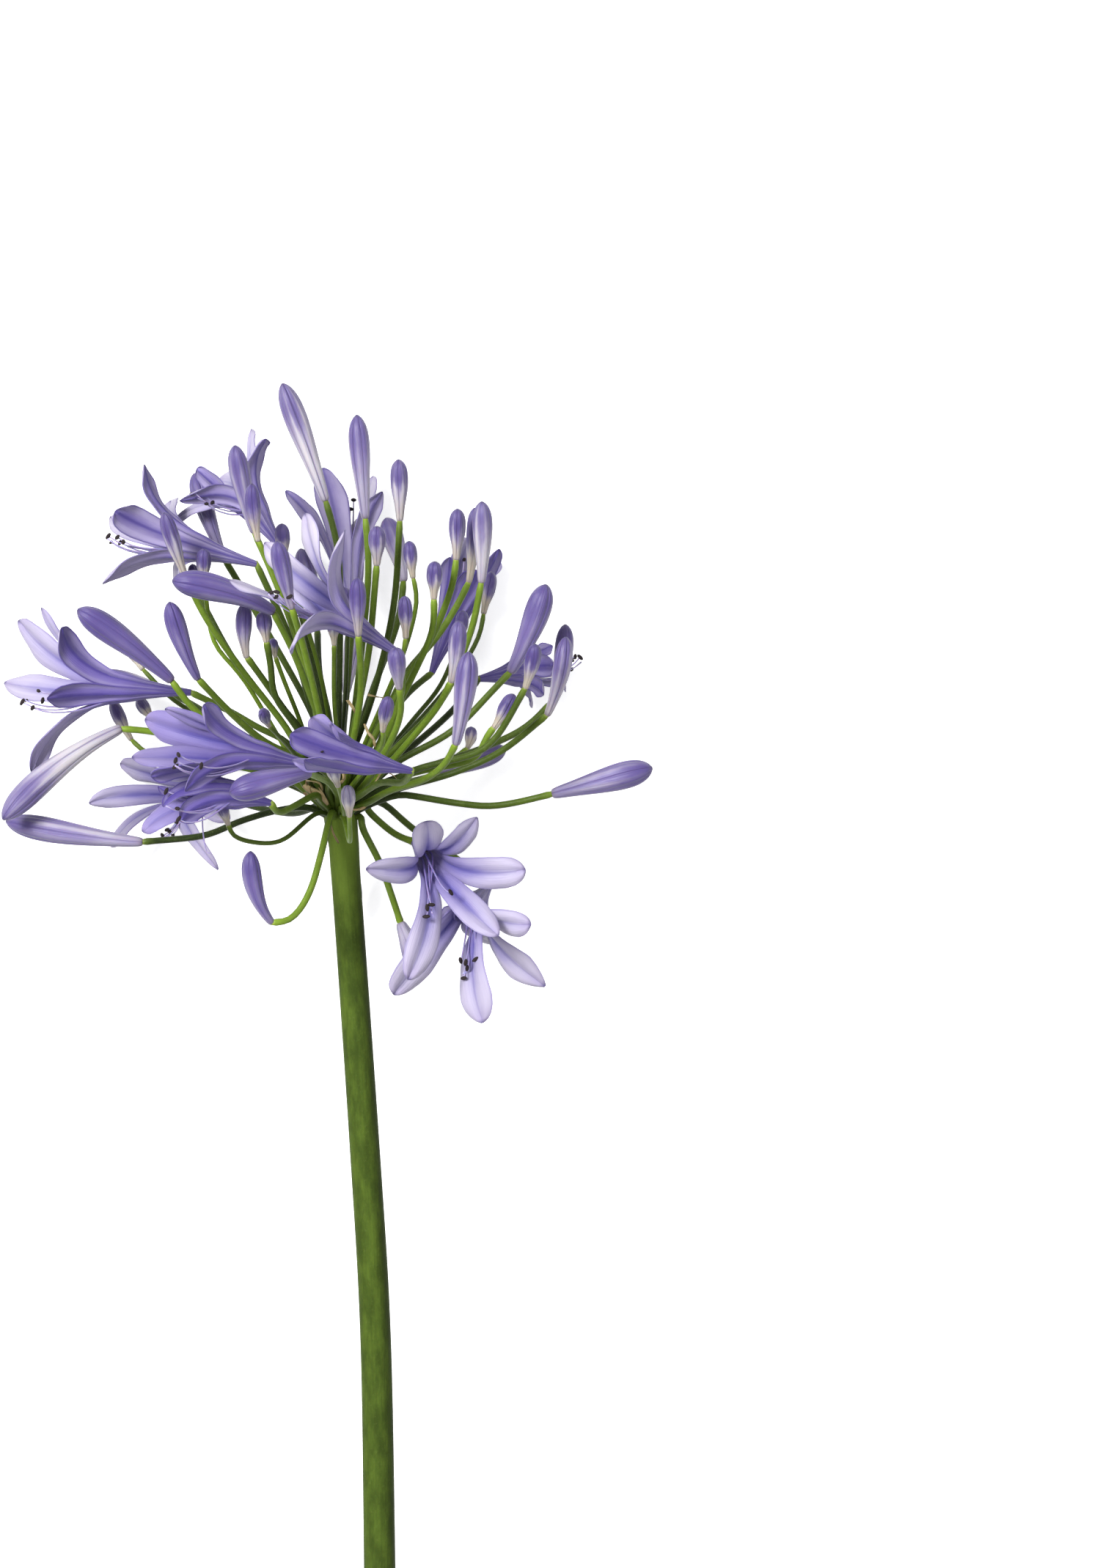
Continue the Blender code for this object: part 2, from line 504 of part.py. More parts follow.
def build_flower(name, floret, finish, stalk_finish, collection, helpers):
    """A funnel joined to its pedicel, whose end passes a little way into the tube's foot."""
    made = perianth(name, floret, finish, collection)
    line = interpolated(floret["line"], 8)
    inside = floret["foot"] + 1.4 * unit(floret["throat"] - floret["foot"])
    radii = np.full(len(line) + 1, PEDICEL_RADIUS)
    rod = tapered_rod(name + "_pedicel", [*line, inside], radii, 6, stalk_finish, helpers)
    bpy.context.view_layer.update()
    stalk = as_mesh(rod)
    stalk.hide_render = True
    stalk.display_type = "WIRE"
    joined = made.modifiers.new("pedicel", "BOOLEAN")
    joined.operation = "UNION"
    joined.object = stalk
    return made


def place_on_origin(objects, hub):
    """Moves the hub so that the origin is the middle of the stem's footprint, on the surface."""
    bpy.context.view_layer.update()
    graph = bpy.context.evaluated_depsgraph_get()
    corners = []
    for part in objects:
        evaluated = part.evaluated_get(graph)
        mesh = evaluated.to_mesh()
        corners.append(np.array([v.co[:] for v in mesh.vertices]))
        evaluated.to_mesh_clear()
    corners = np.vstack(corners)
    low, high = corners.min(axis=0), corners.max(axis=0)
    hub.location = (-(low[0] + high[0]) / 2, -(low[1] + high[1]) / 2, -low[2])


def main():
    for old in list(bpy.data.objects):
        bpy.data.objects.remove(old)
    stem = bpy.data.collections.new("agapanthus_stem")
    helpers = bpy.data.collections.new("helpers")
    bpy.context.scene.collection.children.link(stem)
    bpy.context.scene.collection.children.link(helpers)
    green = material("scape_green", (0.13, 0.22, 0.04), 0.5)
    stalk_green = material("pedicel_green", (0.25, 0.36, 0.07), 0.45)
    violet = material("bud_violet", (0.25, 0.22, 0.6), 0.5)
    lavender = material("tepal_lavender", (0.4, 0.38, 0.78), 0.5)
    made = settle(florets())
    parts = [build_scape(green, stem)]
    for name, floret in made.items():
        if name in FLOWERS:
            parts.append(build_flower(name, floret, lavender, stalk_green, stem, helpers))
        elif not name.startswith("small"):
            parts.append(build_bud(name, floret, violet, stem))
    hub = bpy.data.objects.new("hub", None)
    stem.objects.link(hub)
    place_on_origin(parts, hub)
    for part in [*stem.objects, *helpers.objects]:
        if part is not hub:
            part.parent = hub


main()
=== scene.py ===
# %% [markdown]
# # A cut agapanthus stem
#
# The stem lies on a white table and is looked down on: a thick leafless stalk, the scape, and at
# its end a loose ball of some seventy florets on slender stalks, the pedicels. Some florets are
# still closed buds, and thirteen are open, six-tepalled flowers. The measured solids come in
# first, as a fixed frame that every modelled piece then stands in for.

# %% The frame and its size
import math

import bpy
import numpy as np
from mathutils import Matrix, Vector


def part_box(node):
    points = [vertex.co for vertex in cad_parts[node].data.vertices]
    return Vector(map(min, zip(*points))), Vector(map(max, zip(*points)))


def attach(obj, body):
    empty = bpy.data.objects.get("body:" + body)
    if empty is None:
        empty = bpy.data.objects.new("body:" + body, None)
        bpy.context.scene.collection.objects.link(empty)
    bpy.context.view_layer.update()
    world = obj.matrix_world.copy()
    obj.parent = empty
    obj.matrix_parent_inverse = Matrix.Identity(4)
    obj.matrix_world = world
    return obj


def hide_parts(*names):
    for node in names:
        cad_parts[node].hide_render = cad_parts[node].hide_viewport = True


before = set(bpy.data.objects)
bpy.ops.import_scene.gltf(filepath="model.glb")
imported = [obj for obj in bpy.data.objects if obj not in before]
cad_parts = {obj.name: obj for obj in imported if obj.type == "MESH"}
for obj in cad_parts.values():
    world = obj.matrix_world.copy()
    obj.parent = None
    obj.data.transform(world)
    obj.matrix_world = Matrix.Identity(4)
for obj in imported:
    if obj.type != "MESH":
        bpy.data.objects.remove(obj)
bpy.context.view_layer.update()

# %% [markdown]
# ## Where the umbel starts
#
# Every floret grows out of one point at the top of the scape. All places below are millimetres
# from that point, which is easier to think in than the table's own coordinates. The frame's
# scape ends in a round knob, so the knob's known radius gives its centre back.

# %% The hub, and millimetres from it
MM = 0.001
KNOB_RADIUS = 8.5
KNOB_WIDEST = KNOB_RADIUS * math.cos(math.radians(4))
KNOB_TOP = KNOB_RADIUS * math.sin(math.radians(84))
scape_low, scape_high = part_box("scape")
HUB = np.array([scape_low[0] + KNOB_WIDEST * MM,
                scape_high[1] - KNOB_TOP * MM,
                scape_high[2] - KNOB_WIDEST * MM])
print("the hub is at", HUB.round(4))

# %% [markdown]
# ## Camera
#
# The view is straight down. A long lens from four metres keeps the near and the far florets at
# nearly one scale. Half a millimetre of stem is two points of the picture.

# %% Camera
PICTURE = (1500, 2139)
POINT = 0.25  # millimetres of stem to one point of the picture
HUB_IN_PICTURE = (461, 1088)
CAMERA_RISE = 4.0
SENSOR = 36.0

camera_data = bpy.data.cameras.new("camera")
camera_data.sensor_width = SENSOR
camera_data.lens = SENSOR * CAMERA_RISE / (PICTURE[1] * POINT * MM)
camera_data.clip_end = 20.0
camera = bpy.data.objects.new("camera", camera_data)
bpy.context.scene.collection.objects.link(camera)
camera.location = (HUB[0] + (PICTURE[0] / 2 - HUB_IN_PICTURE[0]) * POINT * MM,
                   HUB[1] + (HUB_IN_PICTURE[1] - PICTURE[1] / 2) * POINT * MM,
                   HUB[2] + CAMERA_RISE)
bpy.context.scene.camera = camera
bpy.context.scene.view_settings.view_transform = "Standard"

# %% [markdown]
# ## Table and light
#
# A white table with a large soft lamp high up to the left, a weak one opposite, and a surround
# that is bright overhead and dim below, so that round stalks and buds darken towards their edges
# as real ones do. The table would light them from beneath, so it is kept out of soft bounces.

# %% Table and light
def clear_selection():
    if bpy.context.mode != "OBJECT":
        bpy.ops.object.mode_set(mode="OBJECT")
    bpy.ops.object.select_all(action="DESELECT")


def soft_lamp(name, place, size, power):
    """A square lamp that faces the umbel."""
    lamp = bpy.data.lights.new(name, "AREA")
    lamp.size = size
    lamp.energy = power
    holder = bpy.data.objects.new(name, lamp)
    bpy.context.scene.collection.objects.link(holder)
    holder.location = place
    toward = bpy.context.scene.cursor.location.copy()
    toward[:] = HUB
    holder.rotation_euler = (toward - holder.location).to_track_quat("-Z", "Y").to_euler()
    return holder


clear_selection()
bpy.ops.mesh.primitive_plane_add(size=8, location=(0, 0, 0))
table = bpy.context.object
table.name = "table"
table.visible_diffuse = False
soft_lamp("lamp_left", (-1.15, 0.9, 2.0), 0.8, 74)
soft_lamp("lamp_right", (1.5, -0.5, 1.8), 1.5, 8)

surround = bpy.data.worlds.new("surround")
surround.use_nodes = True
sky = surround.node_tree
way = sky.nodes.new("ShaderNodeTexCoord").outputs["Generated"]
rise = sky.nodes.new("ShaderNodeSeparateXYZ")
bright = sky.nodes.new("ShaderNodeMapRange")
sky.links.new(way, rise.inputs[0])
sky.links.new(rise.outputs["Z"], bright.inputs["Value"])
for socket, value in (("From Min", -0.3), ("From Max", 0.9), ("To Min", 0.12), ("To Max", 0.66)):
    bright.inputs[socket].default_value = value
sky.links.new(bright.outputs[0], sky.nodes["Background"].inputs["Strength"])
sky.nodes["Background"].inputs["Color"].default_value = (0.98, 0.985, 1.0, 1)
bpy.context.scene.world = surround

# %% [markdown]
# ## The florets' places
#
# A bud is the foot where its stalk ends, its tip, its thickness, and the points that the stalk
# passes. A flower is the foot of its tube, the middle of its throat, its six tepal tips and the
# stalk's points. Each row is a real place, so the tables read like a florist's list.

# %% Buds
BUDS = {
    "bud_01": ((-4.2, 101.2, 6), (-18.8, 141, 10), 8.2, [(0.8, 72.5), (-1, 89.5)]),
    "bud_02": ((9.4, 95.2, 8), (6.6, 130.2, 12), 7.5, [(10.2, 71.8)]),
    "bud_03": ((21.2, 94.4, 10), (20.8, 115, 14), 6.2, [(11.8, 34.5), (19, 64.5)]),
    "bud_04": ((13.5, 79, 22), (13.6, 92, 26), 6.0, [(10.2, 46.5), (12.2, 64.5)]),
    "bud_05": ((23.4, 54.2, 32), (23.1, 68.2, 36), 5.2, [(22, 47)]),
    "bud_06": ((7.7, 54.8, 48), (7.5, 74, 56), 6.0, [(8.2, 34.5)]),
    "bud_07": ((21.5, 37, 50), (20.4, 50.4, 58), 6.5, [(18.2, 18.8), (22, 29.2)]),
    "bud_08": ((40.4, 81, 18), (40.9, 98, 22), 5.8, [(24.2, 41.8), (32, 54), (39.2, 72.2)]),
    "bud_09": ((32.9, 67.6, 24), (33.3, 80, 28), 5.5, [(30.5, 51.5), (32.8, 58.5)]),
    "bud_10": ((49, 73.1, 26), (49.2, 100.2, 34), 7.0, [(34.8, 32), (44.5, 54), (46.5, 60)]),
    "bud_11": ((44.6, 73.4, 6), (46.6, 98.6, 10), 5.5, [(22.8, 41.8), (32, 52.2), (41, 66)]),
    "bud_12": ((-58, 36, -40), (-84, 42, -52), 7.0, [(-24, 16), (-44, 28)]),
    "bud_13": ((38.8, 39.2, 34), (41.5, 59.8, 40), 6.2, [(24.8, 19.5), (34.2, 30.8)]),
    "bud_14": ((40.6, 18.2, 56), (45, 49, 66), 8.2, [(17.5, 2.2), (29, 5.8), (36.5, 11)]),
    "bud_15": ((53.5, 23.6, 24), (60.2, 34.8, 28), 5.5, [(24.8, 7), (46.5, 11.8), (50.2, 18.8)]),
    "bud_16": ((58.8, 42.8, 8), (71, 72.5, 14), 9.2, [(19.8, 12), (38.8, 22.5), (52.5, 36.2)]),
    "bud_17": ((63.8, 37.4, 30), (67.2, 52, 38), 5.5, [(24.8, 9), (48, 15.5), (55.8, 23.2)]),
    "bud_18": ((72.8, 32.5, -6), (77.5, 59.2, -4), 6.8, [(35, 11.8), (46.5, 15.5), (63.2, 23.2)]),
    "bud_19": ((71.2, 28, 14), (77.6, 54.5, 18), 6.5, [(24.8, 4), (39.5, 8), (55.8, 15.5)]),
    "bud_20": ((72.9, 1.8, 10), (106.8, 10.6, 14), 9.6, [(17.5, 1.8), (40.2, -0.9), (52.5, -1.6)]),
    "bud_21": ((-55.5, 39.8, 26), (-87, 63.8, 36), 9.4, [(-15.2, 13.2), (-32.8, 20.8), (-47, 30.2)]),
    "bud_22": ((-46.5, 40.2, 44), (-55.8, 65.9, 54), 7.2, [(-10.2, 12), (-24.2, 18.8), (-36, 29)]),
    "bud_23": ((-67.2, 44, -16), (-73.2, 55, -20), 4.8, [(-20.2, 15.8), (-52.8, 30.8)]),
    "bud_24": ((-31.2, 47.2, 22), (-31.6, 65.5, 26), 5.8, [(-12.5, 21.5), (-17.8, 27.5), (-25, 37.8)]),
    "bud_25": ((-21.2, 62.8, 40), (-55, 73.1, 50), 9.8, [(-6, 26), (-9, 34.8), (-14.8, 50)]),
    "bud_26": ((-45.2, 73.2, 16), (-45.2, 84.4, 20), 5.2, [(-21.5, 23), (-33, 42), (-42, 52.5)]),
    "bud_27": ((-50, 76.2, 28), (-56.8, 97.2, 36), 5.8, [(-15.2, 22), (-30.2, 43.2), (-42.8, 62)]),
    "bud_28": ((-28, 90, 26), (-34.3, 119.2, 34), 7.2, [(-7.8, 32), (-16.5, 62), (-25.5, 84.5)]),
    "bud_29": ((-26.2, 86.8, 42), (-28.2, 105.8, 48), 5.2, [(-7.8, 34.5), (-15.2, 59.5), (-22.2, 78.2)]),
    "bud_30": ((-17.5, 80.8, 26), (-18.5, 92.8, 30), 5.2, [(-5.2, 39.5), (-12.2, 64.5)]),
    "bud_31": ((-14.2, 63.5, 64), (-19, 85.8, 72), 6.6, [(-6.2, 32), (-10.8, 52)]),
    "bud_32": ((-24.1, 53, 24), (-25.2, 63.2, 26), 5.5, [(-12.8, 22), (-21.5, 34.5), (-22.5, 43.2)]),
    "bud_33": ((-0.5, 3.5, 40), (-3.2, 12.5, 52), 5.0, [(2.2, -6)]),
    "bud_34": ((4.6, -6, 44), (4, 4.2, 50), 5.0, [(4.5, -15)]),
    "bud_35": ((-40.2, 82, -8), (-50.2, 110.8, -10), 7.0, [(-7.8, 25.8), (-25.2, 57)]),
    "bud_36": ((21.9, 74.5, -32), (15.8, 96.2, -34), 7.8, [(9.8, 32), (19.8, 59.5)]),
    "bud_37": ((-73.8, 23.4, 6), (-113.5, -7.5, 18), 9.6, [(-20.2, 10.8), (-50.2, 19.5), (-64, 22.6)]),
    "bud_38": ((-66.5, -15.1, 8), (-113.2, -8, 2), 8.8, [(-21.4, -4.5), (-34.5, -8.5), (-45.5, -13)]),
    "bud_39": ((-21.8, -42.2, 28), (-29, -18, 34), 6.8, [(-2, -2.8), (-5.2, -17), (-9.5, -32), (-15.5, -41)]),
    "bud_40": ((-6.8, 9.5, 70), (-33.5, 2.5, 78), 9.5, [(-1.2, 6.5)]),
    "bud_41": ((21, -42.8, 2), (28.5, -58.5, 6), 9.0, [(6.2, -6), (13.2, -20.5), (17.2, -31.8)]),
    "bud_42": ((-8, 58, -48), (-14, 86, -54), 7.6, [(-3, 24), (-7, 42)]),
    "bud_43": ((-34, 12, -46), (-56, 20, -55), 7.0, [(-12, 6), (-24, 9)]),
    "bud_44": ((34, 8, -44), (57, 17, -54), 7.4, [(10, 4), (22, 5)]),
    "bud_45": ((2, 36, -46), (6, 62, -56), 7.2, [(1, 18)]),
    "bud_46": ((1.5, -14, -40), (4.5, -40, -52), 7.6, [(0, -8)]),
    "small_bud_01": ((25.7, 74.9, 14), (24.4, 87.2, 16), 4.8, [(22.2, 48.5), (27, 66.8)]),
    "small_bud_02": ((16, 22.6, 52), (18.1, 33.8, 62), 5.0, [(15, 16.5)]),
    "small_bud_03": ((40.8, 52.5, -14), (42.5, 64, -12), 4.8, [(24.8, 25.8), (34.8, 38.2)]),
    "small_bud_04": ((43.8, 16.8, -22), (45, 23.8, -30), 4.4, [(24.8, 9), (37.2, 12.5)]),
    "small_bud_05": ((-47.8, 70, 0), (-49.8, 79.8, 2), 4.0, [(-19, 25.8), (-35.2, 47)]),
    "small_bud_06": ((-21.2, 47.8, 6), (-22.2, 54.2, 4), 3.4, [(-12.8, 25.8), (-18.2, 39.5)]),
    "small_bud_07": ((-22.4, 24.2, 46), (-24, 29.2, 60), 4.2, [(-14, 14.5)]),
    "small_bud_08": ((-1, 52, 18), (-1.5, 62.5, 22), 4.5, [(-1, 32)]),
    "small_bud_09": ((3.2, 59.5, -8), (2.1, 71.8, -8), 4.5, [(2.2, 32)]),
    "small_bud_10": ((-71.2, 20, -18), (-77.8, 33.2, -22), 4.8, [(-30.2, 9.5), (-59, 13), (-68.2, 16.5)]),
    "small_bud_11": ((-63.5, 27, -10), (-68.5, 33.8, -14), 4.5, [(-30.2, 12), (-52.8, 20.8)]),
    "small_bud_12": ((-36.8, -9, 24), (-39.8, -1, 28), 4.5, [(-9, -6.2), (-20, -15.1), (-33.8, -13.8)]),
    "small_bud_13": ((49.6, 63, -6), (52.4, 77.2, -6), 5.0, [(34.8, 34.5), (45, 49.2), (48.8, 57)]),
}

# %% Open flowers
FLOWERS = {
    "flower_01": (
        (-50, 35.8, 4), (-70.8, 37.2, 4),
        [(-95.2, 57.8, 16), (-101, 64.8, -4), (-108.2, 60.5, -18),
         (-114.8, 39.5, -14), (-98.2, 33.5, 22), (-104.8, 8.8, 6)],
        [(-16.2, 18), (-27.2, 23.8), (-36, 29)],
    ),
    "flower_02": (
        (-27.1, 78.8, 8), (-45.8, 84, 8),
        [(-66.2, 112.5, 14), (-57.2, 101.2, -16), (-75, 97, 24),
         (-78.8, 96, -22), (-79.5, 72.2, 16), (-54.5, 71.8, -4)],
        [(-7.8, 25.8), (-15.2, 52)],
    ),
    "flower_03": (
        (-19, 85, 2), (-27.2, 97, 2),
        [(-52.8, 100.5, 14), (-57, 94, -14), (-40, 108.2, -22),
         (-28.8, 125.8, -12), (-24.5, 122.8, 14), (-48.2, 112, 4)],
        [(-5.2, 32), (-11.5, 59.5)],
    ),
    "flower_04": (
        (21.5, 48.5, 34), (5.2, 59, 42),
        [(-36, 73, 58), (-25.2, 85.8, 44), (-9.8, 96, 42),
         (3.5, 90, 60), (-15, 49.5, 70), (-16.5, 79.5, 30)],
        [(14.8, 17), (21.8, 35)],
    ),
    "flower_05": (
        (-6.8, 10.5, 50), (-23.2, 13.5, 56),
        [(-64, 26, 44), (-56.5, 30, 60), (-44, 30.8, 74),
         (-67.8, 13, 66), (-49.8, 2, 76), (-61.5, 6.5, 62)],
        [(-3.2, 6.5)],
    ),
    "flower_06": (
        (-21, -1.5, 42), (-31.5, 0.8, 44),
        [(-61.2, 7, 34), (-59, 4, 50), (-64.8, -10.8, 44),
         (-52.8, 2.5, 30), (-51.5, -7.5, 54), (-57.2, -2, 58)],
        [(-5.2, 1.8), (-12.5, -2.2), (-17.8, -4.5)],
    ),
    "flower_07": (
        (25.8, 9, 66), (11.8, 12, 72),
        [(-7.5, 26.8, 78), (-14.5, 21.2, 90), (-14, 11.8, 80),
         (-9, 12, 94), (-1.5, 24, 92), (-11.5, 18.2, 66)],
        [(14.8, 5), (22.8, 5)],
    ),
    "flower_08": (
        (-40.2, 0.8, -48), (-49.8, 2, -47),
        [(-76.5, 11.5, -55), (-86.8, -2, -48), (-79.8, -16.5, -43),
         (-42.2, -25, -42), (-38.2, -7.8, -44), (-59.8, 14.5, -62)],
        [(-5.2, -1.5), (-15.2, -5.5), (-30.2, -3)],
    ),
    "flower_09": (
        (24.8, -13, -2), (29.8, -18.8, 10),
        [(29.5, -5.5, 28), (46.8, -4.8, 24), (63.2, -22.2, 28),
         (54, -44.5, 36), (23.2, -59.5, 34), (9, -22, 26)],
        [(7.8, -1.5), (17.2, -9.2)],
    ),
    "flower_10": (
        (51.8, -29.5, -10), (46.8, -36, 0),
        [(19, -67, 10), (49, -76.5, 18), (70.5, -64, 12),
         (66, -43, 30), (33.2, -48, -22), (57.2, -50.5, -26)],
        [(12.5, 1), (25.8, -10.5), (42.2, -21.8)],
    ),
    "flower_11": (
        (4.2, 59.5, -34), (3.2, 74.5, -40),
        [(-19, 105.5, -44), (-5.8, 113.2, -34), (10.8, 111.2, -54),
         (14.2, 105.8, -38), (-3.2, 102, -60), (7.2, 97, -60)],
        [(2.2, 32)],
    ),
    "flower_12": (
        (31.5, 42.8, -40), (37.2, 58.2, -46),
        [(38, 82.8, -36), (54.8, 85.5, -40), (53.8, 82.8, -58),
         (44.8, 89.5, -60), (36, 78.2, -60), (47.2, 78.2, -34)],
        [(9.8, 17), (22.2, 34.5)],
    ),
    "flower_13": (
        (47.8, 40.8, -36), (59.8, 42.8, -44),
        [(73.2, 51.8, -50), (74, 45.8, -34), (71, 35.5, -38),
         (66.2, 31, -58), (77.2, 39.5, -60), (68.5, 49.5, -60)],
        [(19.8, 13.2), (37.2, 28.2)],
    ),
}
print(len(BUDS), "buds and", len(FLOWERS), "open flowers")

# %% [markdown]
# ## Growing the stalks, and making room
#
# Stalks leave the hub in every direction, and a crowded umbel pushes its florets apart. The same
# rule that placed the frame's solids is run again here, so each modelled floret lands where its
# solid is. Spheres stand for the florets, and overlapping spheres push each other away a
# little, mostly in depth, until nothing presses.

# %% Curves and directions
HUB_HEIGHT = 62.0
ROOT_GAP = 0.5
ROOT_SPARE = 0.55
LOWEST_ROOT = -0.55
ROOT_STRAIGHT = 3.5
SCAPE_END_RADIUS = 5.6
CUT_END = (14.0, -332.0)
SCAPE_BENDS = [(1.8, -16.0), (8.7, -119.0), (12.3, -185.0), (13.5, -263.0)]
PEDICEL_RADIUS = 1.15
SLIM_PEDICEL_RADIUS = 0.8
SLIM_BELOW = 5.3  # a bud thinner than this has a slim pedicel


def interpolated(points, count):
    """Evenly spaced points along a smooth curve through the given ones (a Catmull-Rom spline)."""
    given = np.array(points, float)
    padded = np.vstack([2 * given[0] - given[1], given, 2 * given[-1] - given[-2]])
    fine = [given[0]]
    for k in range(1, len(padded) - 2):
        before, start, end, after = padded[k - 1 : k + 3]
        for t in np.linspace(0, 1, 13)[1:]:
            fine.append(0.5 * (2 * start + (end - before) * t
                               + (2 * before - 5 * start + 4 * end - after) * t**2
                               + (3 * start - before - 3 * end + after) * t**3))
    fine = np.array(fine)
    reached = np.append(0, np.cumsum(np.linalg.norm(np.diff(fine, axis=0), axis=1)))
    wanted = np.linspace(0, reached[-1], count)
    return np.column_stack([np.interp(wanted, reached, fine[:, axis]) for axis in range(3)])


def unit(vector):
    return vector / np.linalg.norm(vector, axis=-1, keepdims=True)


def spread_roots(wished):
    """Directions out of the hub near the wished ones, far enough apart for each pedicel."""
    apart = (2 * PEDICEL_RADIUS + ROOT_SPARE) / KNOB_RADIUS
    directions = unit(np.array(wished))
    for _ in range(400):
        away = directions[:, None] - directions[None]
        span = np.linalg.norm(away, axis=2) + np.eye(len(wished))
        push = np.clip(apart - span, 0, None) * (1 - np.eye(len(wished)))
        directions = directions + 0.4 * (away / span[..., None] * push[..., None]).sum(axis=1)
        directions[:, 1] = np.clip(directions[:, 1], LOWEST_ROOT, None)
        directions = unit(directions)
    return directions


def scape_line():
    """The scape's centre line from the hub down to the cut end, which lies on the table."""
    end_height = SCAPE_END_RADIUS - HUB_HEIGHT
    flat = [(0.0, 0.0), *SCAPE_BENDS, CUT_END]
    line = [(x, y, end_height * y / CUT_END[1]) for x, y in flat]
    return interpolated(line, 60)


def pedicel_points(root, foot, via):
    """Points from the hub to the foot of a bud or flower; depth follows the way gone."""
    start = root * (KNOB_RADIUS + ROOT_GAP)
    flat = [start[:2], *[np.array(p, float) for p in via], np.array(foot[:2], float)]
    gone = np.append(0, np.cumsum([np.linalg.norm(b - a) for a, b in zip(flat, flat[1:])]))
    depth = start[2] + (foot[2] - start[2]) * (gone / gone[-1]) ** 0.9
    return [start, start + ROOT_STRAIGHT * root, *[np.array([*p, d]) for p, d in zip(flat, depth)][1:]]


def florets():
    """Every floret with its stalk's points, as the tables give them."""
    rows = {**BUDS, **FLOWERS}
    wished = []
    for foot, _, _, via in rows.values():
        way = 0.45 if len(via) > 1 else 0.6
        wished.append(np.array([*via[0], foot[2] * way]) + 1e-3)
    made = {}
    for name, root in zip(rows, spread_roots(wished)):
        foot, second, third, via = rows[name]
        floret = {"stalk": pedicel_points(root, foot, via), "foot": np.array(foot, float)}
        if name in FLOWERS:
            floret.update(throat=np.array(second, float), tips=np.array(third, float))
        else:
            floret.update(tip=np.array(second, float), thick=third)
        made[name] = floret
    return made


def stalk_radius(floret):
    return SLIM_PEDICEL_RADIUS if floret.get("thick", 9) < SLIM_BELOW else PEDICEL_RADIUS


# %% The middle lines of six tepals
THROAT_RADIUS = 4.6
TEPAL_LIFT = 0.42
TEPAL_BEND = 0.1
ASIDE = (0.31, 0.17, 0.93)


def tepal_rows(floret, shares):
    """Middle points of the six tepals at the given shares of their length, and their side directions."""
    throat, tips = floret["throat"], floret["tips"]
    axis = unit(throat - floret["foot"])
    across = unit(np.cross(axis, ASIDE))
    upward = np.cross(axis, across)
    angles = np.arctan2((tips - throat) @ upward, (tips - throat) @ across)
    order = np.argsort(angles)
    tips, angles = tips[order], angles[order]
    turn = np.mean(angles - np.arange(6) * math.pi / 3)
    rows, sides = [], []
    for k, tip in enumerate(tips):
        around = turn + k * math.pi / 3
        outward = math.cos(around) * across + math.sin(around) * upward
        start = throat + THROAT_RADIUS * outward
        length = np.linalg.norm(tip - start)
        lift = start + TEPAL_LIFT * length * axis
        bend = 0.5 * (lift + tip) + TEPAL_BEND * length * axis
        t = np.array(shares)[:, None]
        near = (1 - t) ** 3 * start + 3 * t * (1 - t) ** 2 * lift
        far = 3 * t**2 * (1 - t) * bend + t**3 * tip
        rows.append(near + far)
        sides.append(np.cross(axis, outward))
    return np.array(rows), np.array(sides), turn, across, upward


# %% Making room
CLEARANCE = 0.45
FLATTEN = 2.2
SETTLE_ROUNDS = 300
DEPTH_FIRST = (0.3, 0.3, 1.0)
PLUMP = [(0, 0.42), (0.12, 0.52), (0.34, 0.66), (0.62, 1.0), (0.8, 0.93), (0.93, 0.55), (1, 0.14)]


def samples_of(floret):
    """Spheres that cover a floret: centres, radii, and the share of its movement that each takes."""
    line = interpolated([*floret["stalk"]], 34)
    step = np.linalg.norm(line[1] - line[0])
    radius = stalk_radius(floret)
    share = np.linspace(0, 1, len(line))
    centres, radii, shares = [line], [np.full(len(line), math.hypot(radius, step / 2))], [share]
    if "tips" in floret:
        rows, sides = tepal_rows(floret, [0.15, 0.4, 0.6, 0.8, 0.97])[:2]
        tube = np.linspace(floret["foot"], floret["throat"], 7)
        body = [tube, *[(rows + 2.6 * k * sides[:, None]).reshape(-1, 3) for k in (-1, 0, 1)]]
        sizes = [np.linspace(2, THROAT_RADIUS, 7), *[np.full(rows.shape[0] * rows.shape[1], 1.8)] * 3]
    else:
        along = np.linspace(0, 1, 9)
        plump = np.interp(along, *zip(*PLUMP)) * floret["thick"] / 2
        body = [floret["foot"] + along[:, None] * (floret["tip"] - floret["foot"])]
        sizes = [plump + 0.25]
    for places, size in zip(body, sizes):
        centres.append(places)
        radii.append(size)
        shares.append(np.ones(len(places)))
    return np.vstack(centres), np.concatenate(radii), np.concatenate(shares)


def near_pairs(places, radii, owners, reach):
    """Pairs of spheres of different florets that lie within the given reach of each other."""
    square = (places**2).sum(axis=1)
    found = []
    for first in range(0, len(places), 500):
        block = slice(first, first + 500)
        span = square[block, None] + square[None] - 2 * places[block] @ places.T
        limit = radii[block, None] + radii[None] + reach
        near = (span < limit**2) & (owners[block, None] < owners[None])
        one, other = np.nonzero(near)
        found.append(np.column_stack([one + first, other]))
    return np.vstack(found)


def added_up(owners, amounts, size):
    """The sum of each owner's rows."""
    return np.column_stack([np.bincount(owners, column, size) for column in amounts.T])


